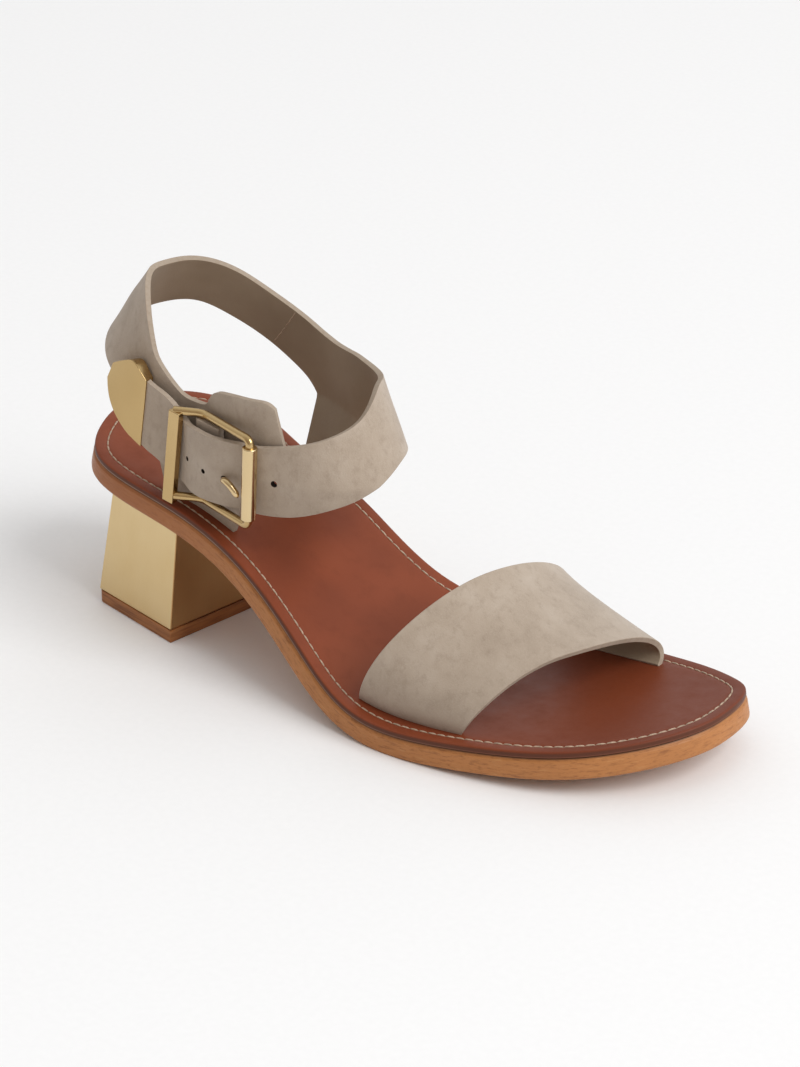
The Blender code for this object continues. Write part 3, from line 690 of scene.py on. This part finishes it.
suede = suede_finish("suede")
lining = lining_finish("lining")
suede_edge = edge_finish("suede_edge", SUEDE_DULL, CUT_EDGE)
band_points = []
for i in range(BAND_ACROSS + 1):
    share = i / BAND_ACROSS
    for j in range(BAND_ALONG + 1):
        forward = j / BAND_ALONG
        arch = Arch(*(np.asarray(BAND_REAR) * (1 - forward) + np.asarray(BAND_FRONT) * forward))
        here = arch_point(arch, share)
        inward = Vector((arch.outer_x * 0.5 + arch.inner_x * 0.5, 0, 0)) - here
        push = 0
        for dent in BAND_DENTS:
            away = (share - dent.share_across) ** 2 + (DENT_STRETCH * (forward - dent.share_along)) ** 2
            push += dent.depth * math.exp(-away / dent.reach ** 2 * DENT_FALL)
        band_points.append(here - inward.normalized() * push * math.sin(math.pi * share))
toe_strap = new_piece("toe_strap", band_points, sheet_faces(BAND_ACROSS + 1, BAND_ALONG + 1), closed=False)
for finish in (suede, lining, suede_edge):
    toe_strap.data.materials.append(finish)
thicken(toe_strap, BAND_THICKNESS, BAND_RIM)
settle(toe_strap)
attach(toe_strap, "root")
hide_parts("toe_band")

# Ankle wall: quarters, back strap and front strap of taupe suede over lining, lapped and sewn into one wall.
# The quarters' legs go down into slits in the footbed, and the strap's end runs on over the outer quarter.
ANKLE_AXIS = (58.0, -3.0)
ANKLE_HEIGHTS = (46.0, 70.0, 112.0)
Reach = namedtuple("Reach", "direction foot low high")
ANKLE_FORM = [
    Reach(0, 70.0, 69.0, 49.0),
    Reach(36, 37.0, 43.7, 40.0),
    Reach(72, 25.5, 35.0, 31.5),
    Reach(108, 30.3, 37.5, 28.5),
    Reach(144, 50.0, 52.0, 33.0),
    Reach(180, 66.0, 71.5, 40.5),
    Reach(216, 46.0, 47.5, 32.5),
    Reach(252, 28.0, 27.0, 26.0),
    Reach(288, 26.6, 28.5, 30.0),
    Reach(324, 43.0, 48.0, 46.5),
]
Section = namedtuple("Section", "low_wrap low high_wrap high out")
ANKLE_WALL = [
    Section(31.5, 80.0, 34.5, 94.5, -1.0),
    Section(36.0, 77.0, 38.0, 96.3, -1.0),
    Section(43.0, 73.0, 44.0, 96.0, -1.6),
    Section(52.0, 69.0, 51.0, 95.3, -2.4),
    Section(60.0, 68.0, 59.0, 94.2, -2.8),
    Section(67.0, 68.0, 65.3, 92.8, -2.9),
    Section(73.0, 68.0, 70.5, 90.0, -2.9),
    Section(79.0, 68.5, 76.0, 86.5, -2.8),
    Section(87.0, 69.0, 86.0, 85.5, -2.2),
    Section(97.0, 70.0, 98.4, 86.0, -1.5),
    Section(107.0, 71.5, 108.0, 89.3, -0.8),
    Section(116.0, 73.0, 116.0, 93.5, -0.3),
    Section(122.0, 75.5, 123.0, 98.0, 0.0),
    Section(130.0, 79.5, 129.0, 104.0, 0.0),
    Section(142.0, 84.0, 138.0, 111.5, 0.0),
    Section(155.0, 88.5, 150.0, 117.0, 0.0),
    Section(168.0, 93.2, 166.0, 119.0, 0.0),
    Section(181.0, 96.3, 181.0, 118.0, 0.0),
    Section(195.0, 98.6, 195.0, 117.8, 0.0),
    Section(208.0, 98.4, 210.0, 116.2, 0.0),
    Section(224.0, 93.0, 226.0, 112.5, 0.0),
    Section(242.0, 86.3, 241.0, 107.7, 0.0),
    Section(252.0, 82.4, 252.0, 104.2, 0.0),
    Section(262.0, 78.4, 262.0, 101.3, 0.0),
    Section(271.0, 74.4, 271.0, 98.8, 0.0),
    Section(277.0, 69.8, 279.0, 96.6, 0.0),
    Section(282.0, 66.2, 286.0, 94.9, 0.0),
    Section(288.0, 62.8, 293.0, 93.8, 0.0),
    Section(294.0, 59.8, 300.0, 93.2, 0.0),
    Section(299.0, 57.6, 307.0, 93.2, 0.0),
    Section(303.6, 58.8, 312.0, 93.4, 0.0),
    Section(312.5, 62.4, 318.0, 93.7, 0.0),
    Section(325.0, 67.4, 327.0, 93.8, 0.0),
    Section(338.0, 71.7, 337.0, 94.6, 0.0),
    Section(350.0, 74.4, 347.0, 96.4, 0.0),
    Section(358.7, 74.2, 354.5, 96.8, 0.1),
    Section(366.8, 70.6, 362.5, 93.6, 0.3),
    Section(374.0, 66.4, 370.5, 89.6, 0.8),
    Section(381.0, 62.9, 379.0, 86.9, 1.5),
    Section(391.0, 58.5, 388.0, 84.5, 2.2),
    Section(402.0, 56.7, 401.5, 82.0, 3.0),
    Section(409.0, 56.9, 409.0, 81.8, 4.2),
    Section(416.0, 56.8, 416.0, 81.6, 5.5),
    Section(425.0, 56.8, 425.0, 81.4, 6.5),
    Section(435.0, 57.0, 435.0, 81.6, 6.7),
    Section(443.0, 57.9, 443.0, 81.7, 6.0),
    Section(451.0, 59.5, 451.0, 83.6, 5.0),
    Section(461.5, 61.4, 461.0, 86.7, 4.7),
    Section(470.0, 64.1, 469.0, 88.6, 4.8),
    Section(477.3, 66.7, 475.2, 89.9, 4.8),
    Section(482.0, 69.8, 479.0, 90.9, 4.6),
]
WALL_THICKNESS = 2.0
WALL_RIM = 0.45
WALL_COLUMNS = 9
WALL_ROWS = 20
Leg = namedtuple("Leg", "first last foot_first foot_last")
QUARTER_LEGS = [Leg(43.0, 122.0, 55.0, 111.0), Leg(277.0, 299.0, 281.0, 314.0)]
LEG_ROWS = 14
LEG_SLACK = 0.01
FOOT_ROUNDS = 6
Fold = namedtuple("Fold", "wrap height wide tall rise")
WALL_FOLDS = [
    Fold(104.0, 76.0, 6.0, 6.0, 0.4),
    Fold(150.0, 100.0, 7.0, 9.0, -0.5),
    Fold(170.0, 108.0, 8.0, 6.0, 0.5),
    Fold(225.0, 101.0, 9.0, 7.0, -0.4),
    Fold(318.0, 78.0, 8.0, 8.0, -0.5),
    Fold(352.0, 80.0, 7.0, 10.0, 0.5),
    Fold(372.0, 82.0, 6.0, 8.0, -0.6),
    Fold(402.0, 76.0, 4.0, 7.0, 0.35),
    Fold(446.0, 74.0, 2.5, 9.0, -0.3),
    Fold(462.0, 70.0, 4.0, 6.0, 0.3),
]
Hole = namedtuple("Hole", "wrap height out radius")
STRAP_HOLES = [
    Hole(396.3, 70.2, 2.6, 1.15),
    Hole(416.4, 67.5, 5.5, 1.4),
    Hole(428.9, 67.7, 6.6, 0.85),
    Hole(442.3, 69.0, 6.1, 0.85),
]
HOLE_REACH = 3.2
HOLE_SIDES = 24
HOLE_PAINTED_SHADE = (0.012, 0.009, 0.007)
HOLE_PAINTED_SHADE_BROWN = (0.03, 0.021, 0.015)
form_turns = [r.direction + 360 * lap for lap in (-1, 0, 1) for r in ANKLE_FORM]
form_reach = spline(form_turns, [(r.foot, r.low, r.high) for r in ANKLE_FORM * 3])


def ankle_point(wrap, height, out):
    """Point on the ankle form at a wrap angle and height, moved outward."""
    foot, low, high = form_reach(-wrap % 360)
    reach = np.interp(height, ANKLE_HEIGHTS, (foot, low, high)) + out
    if height > ANKLE_HEIGHTS[2]:
        reach += (high - low) * (height - ANKLE_HEIGHTS[2]) / (ANKLE_HEIGHTS[2] - ANKLE_HEIGHTS[1])
    turn = math.radians(-wrap)
    return Vector((ANKLE_AXIS[0] + reach * math.cos(turn), ANKLE_AXIS[1] + reach * math.sin(turn), height))


def foot_point(wrap):
    """Point just under the footbed where the ankle form meets it."""
    height = ANKLE_HEIGHTS[0]
    for _ in range(FOOT_ROUNDS):
        height = bed_height(ankle_point(wrap, height, 0)[0])
    return ankle_point(wrap, height - SINK, 0)


def fold_rise(wrap, height):
    """How far the soft folds lift or sink the wall at a place."""
    return sum(f.rise * math.exp(-((wrap - f.wrap) / f.wide) ** 2 - ((height - f.height) / f.tall) ** 2)
               for f in WALL_FOLDS)


def wall_column(section, rows):
    """Points of the ankle form from a section's lower edge to its upper edge."""
    column = []
    for share in np.linspace(0, 1, rows + 1):
        wrap = section.low_wrap + (section.high_wrap - section.low_wrap) * share
        height = section.low + (section.high - section.low) * share
        column.append(ankle_point(wrap, height, section.out + fold_rise(wrap, height)))
    return column


def wall_facing(wrap, height):
    """Outward direction of the ankle wall at a place."""
    around = ankle_point(wrap - 1, height, 0) - ankle_point(wrap + 1, height, 0)
    upward = ankle_point(wrap, height + 1, 0) - ankle_point(wrap, height - 1, 0)
    return around.cross(upward).normalized()


wall_curve = spline(range(len(ANKLE_WALL)), ANKLE_WALL)
wall_sections = [Section(*wall_curve(p))
                 for p in np.linspace(0, len(ANKLE_WALL) - 1, (len(ANKLE_WALL) - 1) * WALL_COLUMNS + 1)]
wall_grid = [wall_column(section, WALL_ROWS) for section in wall_sections]
wall_points = [p for column in wall_grid for p in column]
wall_faces = sheet_faces(len(wall_grid), WALL_ROWS + 1)
for leg in QUARTER_LEGS:
    hung = [i for i, section in enumerate(wall_sections)
            if leg.first - LEG_SLACK <= section.low_wrap <= leg.last + LEG_SLACK]
    feet = [foot_point(wrap) for wrap in np.linspace(leg.foot_first, leg.foot_last, len(hung))]
    upper = [i * (WALL_ROWS + 1) for i in hung]
    for row in range(1, LEG_ROWS + 1):
        lower = list(range(len(wall_points), len(wall_points) + len(hung)))
        wall_points += [wall_grid[i][0].lerp(foot, row / LEG_ROWS) for i, foot in zip(hung, feet)]
        wall_faces += [(lower[i], upper[i], upper[i + 1], lower[i + 1]) for i in range(len(hung) - 1)]
        upper = lower
ankle_wall = new_piece("ankle_wall", wall_points, wall_faces, closed=False)
for finish in (suede, lining, suede_edge):
    ankle_wall.data.materials.append(finish)
thicken(ankle_wall, WALL_THICKNESS, WALL_RIM)
# Painted shade: the walls of the strap holes are coloured nearly black.
hole_painted_shade = edge_finish("hole_painted_shade", HOLE_PAINTED_SHADE, HOLE_PAINTED_SHADE_BROWN)
punches = []
for hole in STRAP_HOLES:
    facing = wall_facing(hole.wrap, hole.height)
    middle = ankle_point(hole.wrap, hole.height, hole.out) - facing
    work = bmesh.new()
    radius = hole.radius * MM
    bmesh.ops.create_cone(work, cap_ends=True, segments=HOLE_SIDES, radius1=radius, radius2=radius,
                          depth=HOLE_REACH * MM)
    through = facing.to_track_quat("Z", "Y").to_matrix().to_4x4()
    bmesh.ops.transform(work, matrix=Matrix.Translation(middle * MM + PLACE) @ through, verts=work.verts)
    mesh = bpy.data.meshes.new("punch")
    mesh.materials.append(hole_painted_shade)
    work.to_mesh(mesh)
    work.free()
    punch = bpy.data.objects.new("punch", mesh)
    bpy.context.scene.collection.objects.link(punch)
    cut = ankle_wall.modifiers.new("hole", "BOOLEAN")
    cut.object = punch
    cut.solver = "EXACT"
    cut.material_mode = "TRANSFER"
    punches.append(punch)
settle(ankle_wall)
for punch in punches:
    bpy.data.objects.remove(punch)
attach(ankle_wall, "root")
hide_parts("ankle_upper")

# Lap seam: the back strap's end lies over the inner quarter, and one zigzag of cream thread holds the two.
# The thread shows on the suede and again on the lining.
Seam = namedtuple("Seam", "low_wrap low high_wrap high")
LAP_SEAM = Seam(247.5, 86.0, 265.5, 99.4)
SEAM_STITCHES = 11
SEAM_WIDTH = 1.7
SEAM_THICK = 0.4
SEAM_MIDDLE = (256.0, 92.0)
SEAM_PITCH_SHARE = 0.999


def zigzag(seam, depth):
    """Zigzag path at a depth under the ankle wall's face, from its first stitch's middle to its last's."""
    run = ankle_point(seam.high_wrap, seam.high, 0) - ankle_point(seam.low_wrap, seam.low, 0)
    line = []
    for i in range(SEAM_STITCHES + 1):
        share = i / SEAM_STITCHES
        wrap = seam.low_wrap + (seam.high_wrap - seam.low_wrap) * share
        height = seam.low + (seam.high - seam.low) * share
        facing = wall_facing(wrap, height)
        side = facing.cross(run).normalized() * (SEAM_WIDTH / 2 if i % 2 else -SEAM_WIDTH / 2)
        line.append(ankle_point(wrap, height, fold_rise(wrap, height)) - facing * depth + side)
    return [(line[0] + line[1]) / 2, *line[1:-1], (line[-2] + line[-1]) / 2]


for side, depth in (("suede", 0.0), ("lining", WALL_THICKNESS)):
    seam_path = zigzag(LAP_SEAM, depth)
    length = sum((b - a).length for a, b in zip(seam_path, seam_path[1:])) / (SEAM_STITCHES - 1)
    face = wall_facing(*SEAM_MIDDLE) * (1 if side == "suede" else -1)
    seam_stitch = stitch_mesh("seam_stitch", length, SEAM_THICK)
    ups = [face] * len(seam_path)
    pitch = length * SEAM_PITCH_SHARE
    lap_stitches = sewn_line("lap_stitches_" + side, seam_path, ups, seam_stitch, pitch, cream_thread)
    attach(lap_stitches, "root")

# Strap tip: a cap pressed from gold-plated metal, with a rounded nose.
# It is folded over the strap's end and crimped, and its face is satin brushed.
TIP = [
    Section(478.1, 66.8, 476.0, 90.6, 5.4),
    Section(484.0, 70.4, 480.5, 94.0, 6.0),
    Section(488.3, 73.3, 485.2, 95.9, 6.0),
    Section(492.5, 76.8, 489.9, 95.2, 6.0),
    Section(496.4, 81.4, 494.5, 93.6, 6.0),
    Section(499.2, 86.4, 498.2, 91.9, 6.0),
]
TIP_THICKNESS = 4.2
TIP_RIM = 0.4
TIP_COLUMNS = 40
TIP_ROWS = 16
FITTING_PALE = (0.57, 0.405, 0.195)
FITTING_DEEP = (0.5, 0.345, 0.155)
gold_fittings = gold_finish("gold_fittings", FITTING_DEEP, FITTING_PALE, roughness=0.22, brushed=(1, 1, 0.2))
tip_curve = spline(range(len(TIP)), TIP)
tip_places = np.linspace(0, len(TIP) - 1, TIP_COLUMNS + 1)
tip_grid = [wall_column(Section(*tip_curve(p)), TIP_ROWS) for p in tip_places]
tip_points = [p for column in tip_grid for p in column]
metal_tip = new_piece("metal_tip", tip_points, sheet_faces(TIP_COLUMNS + 1, TIP_ROWS + 1), closed=False)
metal_tip.data.materials.append(gold_fittings)
thicken(metal_tip, TIP_THICKNESS, TIP_RIM)
settle(metal_tip)
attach(metal_tip, "root")
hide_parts("strap_tip")

# Buckle: a frame bent from gold-plated bar, with a flat rear plate and a centre bar brazed across it.
# A polished tube rolls on its front bar. A short hooked prong on the centre bar comes out through a hole
# in the strap.
BUCKLE_PLACE = (65.2, -30.5, 69.3)
BUCKLE_LEAN_DEG = 3.0
BUCKLE_HALF = 15.6
RAIL_RADIUS = 1.4
RAIL_CORNER = 2.6
RAIL_CORNER_STEPS = 8
CENTRE_BAR_RADIUS = 1.1
PLATE_MIDDLE = (-8.5, -5.2, -1.2)
PLATE_SIZE = (4.6, 2.6, 34.0)
PLATE_LEAN_DEG = 4.5
FRONT_BAR = (26.9, -7.1, 2.4)
ROLLER_RADIUS = 2.5
ROLLER_LENGTH = 26.0
ROLLER_SIDES = 32
BAR_SIDES = 24
BUCKLE_BEVEL = 0.35
PRONG_RADIUS = 1.15
PRONG_SIDES = 16
PRONG_STEPS = 48
PRONG_TAPER = (0.95, 0.85, 0.65, 0.3)
POLISHED_PALE = (0.75, 0.585, 0.34)
POLISHED_DEEP = (0.66, 0.49, 0.26)
PRONG_PATH = [
    (1.9, -0.9, -0.6),
    (6.5, -1.5, -0.8),
    (11.0, -2.1, -1.0),
    (13.7, -3.6, -1.2),
    (15.2, -5.9, -1.2),
    (16.6, -7.8, 0.0),
    (19.2, -8.7, 0.2),
    (21.6, -8.5, -1.6),
    (23.1, -8.1, -3.7),
]
buckle_turn = Matrix.Rotation(math.radians(BUCKLE_LEAN_DEG), 4, "Y")
buckle_spot = Matrix.Translation(Vector(BUCKLE_PLACE)) @ buckle_turn


def rounded(path, radius):
    """Path with each inner corner turned into an arc."""
    shares = [i / RAIL_CORNER_STEPS for i in range(RAIL_CORNER_STEPS + 1)]
    smooth = [Vector(path[0])]
    for before, here, after in zip(path, path[1:], path[2:]):
        here = Vector(here)
        back = (Vector(before) - here).normalized() * radius
        ahead = (Vector(after) - here).normalized() * radius
        smooth += [here + back * (1 - share) ** 2 + ahead * share ** 2 for share in shares]
    return smooth + [Vector(path[-1])]


def bar_along(path, radius, sides, taper=()):
    """Points and faces of a round bar along a path, with its ends closed. Taper scales its last rings."""
    path = [Vector(p) for p in path]
    scales = [1.0] * (len(path) - len(taper)) + list(taper)
    points = []
    across = None
    for i, here in enumerate(path):
        ahead = (path[min(i + 1, len(path) - 1)] - path[max(i - 1, 0)]).normalized()
        across = ahead.orthogonal() if across is None else across - ahead * across.dot(ahead)
        across.normalize()
        other = ahead.cross(across)
        for a in np.linspace(0, 2 * math.pi, sides + 1)[:-1]:
            points.append(here + radius * scales[i] * (across * math.cos(a) + other * math.sin(a)))
    return points, tube_faces(len(path), sides)


def metal_piece(name, bodies, finish, node):
    """Gold piece of the buckle from bodies in the buckle's own frame."""
    points = []
    faces = []
    for body_points, body_faces in bodies:
        faces += [tuple(n + len(points) for n in face) for face in body_faces]
        points += [buckle_spot @ Vector(p) for p in body_points]
    piece = new_piece(name, points, faces)
    piece.data.materials.append(finish)
    soften(piece, BUCKLE_BEVEL)
    settle(piece)
    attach(piece, "root")
    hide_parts(node)


gold_polished = gold_finish("gold_polished", POLISHED_DEEP, POLISHED_PALE, roughness=0.15,
                            brushed=(1, 1, 0.2))
corners = [(PLATE_MIDDLE[0], PLATE_MIDDLE[1], 0), (0, 0, 0), FRONT_BAR]
rail_path = [(x, y, z + BUCKLE_HALF) for x, y, z in corners]
rail_path += [(x, y, z - BUCKLE_HALF) for x, y, z in reversed(corners)]
half_plate = Vector(PLATE_SIZE) / 2
plate_turn = Matrix.Rotation(math.radians(PLATE_LEAN_DEG), 4, "Y")
signs = [Vector((a, b, c)) for a in (-1, 1) for b in (-1, 1) for c in (-1, 1)]
plate_points = [Vector(PLATE_MIDDLE) + plate_turn @ (half_plate * sign) for sign in signs]
plate_faces = [(0, 1, 3, 2), (4, 6, 7, 5), (0, 4, 5, 1), (2, 3, 7, 6), (0, 2, 6, 4), (1, 5, 7, 3)]
rails = bar_along(rounded(rail_path, RAIL_CORNER), RAIL_RADIUS, BAR_SIDES)
centre_bar = bar_along([(0, 0, -BUCKLE_HALF), (0, 0, BUCKLE_HALF)], CENTRE_BAR_RADIUS, BAR_SIDES)
rear_plate = (plate_points, plate_faces)
metal_piece("frame_of_buckle", [rails, centre_bar, rear_plate], gold_fittings, "buckle_frame")
front = Vector(FRONT_BAR)
roller_ends = [front + Vector((0, 0, side * ROLLER_LENGTH / 2)) for side in (-1, 1)]
roller = bar_along(roller_ends, ROLLER_RADIUS, ROLLER_SIDES)
metal_piece("roller_of_buckle", [roller], gold_polished, "buckle_roller")
prong_curve = spline(range(len(PRONG_PATH)), PRONG_PATH)
prong_line = [prong_curve(p) for p in np.linspace(0, len(PRONG_PATH) - 1, PRONG_STEPS + 1)]
prong = bar_along(prong_line, PRONG_RADIUS, PRONG_SIDES, PRONG_TAPER)
metal_piece("prong_of_buckle", [prong], gold_polished, "buckle_prong")

# Buckle loop: a short strip of the same suede, folded round the centre bar to hold the buckle.
# Its two ends lie together and are sewn to the outer quarter behind it.
LOOP_BEND = 2.3
LOOP_LENGTH = 9.5
LOOP_FRONT_OUTER = -2.9
LOOP_FRONT_INNER = -0.2
LOOP_HALF = 12.5
LOOP_TOP = 14.0
LOOP_BEVEL = 0.3
LOOP_POINTS = 25
fold = [(LOOP_LENGTH, LOOP_FRONT_OUTER)]
fold += [(-LOOP_BEND * math.sin(a), -LOOP_BEND * math.cos(a)) for a in np.linspace(0, math.pi, LOOP_POINTS)]
fold += [(LOOP_LENGTH, LOOP_FRONT_INNER)]
suede_loop = block_between("suede_loop", [buckle_spot @ Vector((x, y, -LOOP_HALF)) for x, y in fold],
                           [buckle_spot @ Vector((x, y, LOOP_TOP)) for x, y in fold])
suede_loop.data.materials.append(suede)
soften(suede_loop, LOOP_BEVEL)
settle(suede_loop)
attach(suede_loop, "root")
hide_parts("buckle_loop")

# Studio: a pale seamless floor under a white surround, dimmer and warmer on the sandal's outer side.
# One wide soft light stands beyond the toe.
FLOOR_HALF = 6.0
FLOOR_PALE = (0.9, 0.9, 0.9)
FLOOR_GREY = (0.885, 0.885, 0.885)
SURROUND_FROM = -0.9
SURROUND_TO = 0.1
SURROUND_DIM = (0.42, 0.36, 0.31)
SURROUND_BRIGHT = (0.815, 0.83, 0.845)
KEY_PLACE = (3.6, 0.45, 3.3)
KEY_SIZE = 3.0
KEY_POWER = 148.0
floor_mesh = bpy.data.meshes.new("studio_floor")
floor_corners = [(x * FLOOR_HALF, y * FLOOR_HALF, 0) for x, y in ((-1, -1), (1, -1), (1, 1), (-1, 1))]
floor_mesh.from_pydata(floor_corners, [], [(0, 1, 2, 3)])
studio_floor = bpy.data.objects.new("studio_floor", floor_mesh)
bpy.context.scene.collection.objects.link(studio_floor)
floor_paper, tree, surface = finish_for("floor_paper", FLOOR_PALE, roughness=0.85)
coords = tree.nodes.new("ShaderNodeTexCoord").outputs["Object"]
tooth = speckle(tree, coords, scale=400.0, detail=2.0)
tree.links.new(ramp(tree, tooth, [(0.3, FLOOR_GREY), (0.7, FLOOR_PALE)]), surface.inputs["Base Color"])
studio_floor.data.materials.append(floor_paper)
world = bpy.data.worlds.new("studio")
bpy.context.scene.world = world
world.use_nodes = True
surround = world.node_tree
look = surround.nodes.new("ShaderNodeSeparateXYZ")
surround.links.new(surround.nodes.new("ShaderNodeTexCoord").outputs["Generated"], look.inputs["Vector"])
inward = remap(surround, look.outputs["Y"], (SURROUND_FROM, SURROUND_TO), (0.0, 1.0))
surround_tone = ramp(surround, inward, [(0.0, SURROUND_DIM), (1.0, SURROUND_BRIGHT)])
surround.links.new(surround_tone, surround.nodes["Background"].inputs["Color"])
key_light = bpy.data.lights.new("key_right", "AREA")
key_light.size = KEY_SIZE
key_light.energy = KEY_POWER
key_lamp = bpy.data.objects.new("key_right", key_light)
key_lamp.location = KEY_PLACE
key_lamp.rotation_euler = (-Vector(KEY_PLACE)).to_track_quat("-Z", "Y").to_euler()
bpy.context.scene.collection.objects.link(key_lamp)
bpy.context.scene.view_settings.view_transform = "Standard"

# Camera: a long lens at the photograph's place and angle, ahead of the toe on the outer side and above it.
# It is aimed at the middle of the sandal.
CAMERA_PLACE = (781.3, -777.8, 556.8)
CAMERA_AIM = (117.0, 8.0, 43.0)
CAMERA_LENS = 118.0
camera = bpy.data.cameras.new("camera")
camera.lens = CAMERA_LENS
viewer = bpy.data.objects.new("camera", camera)
viewer.location = Vector(CAMERA_PLACE) * MM + PLACE
viewer.rotation_euler = (Vector(CAMERA_AIM) - Vector(CAMERA_PLACE)).to_track_quat("-Z", "Y").to_euler()
bpy.context.scene.collection.objects.link(viewer)
bpy.context.scene.camera = viewer
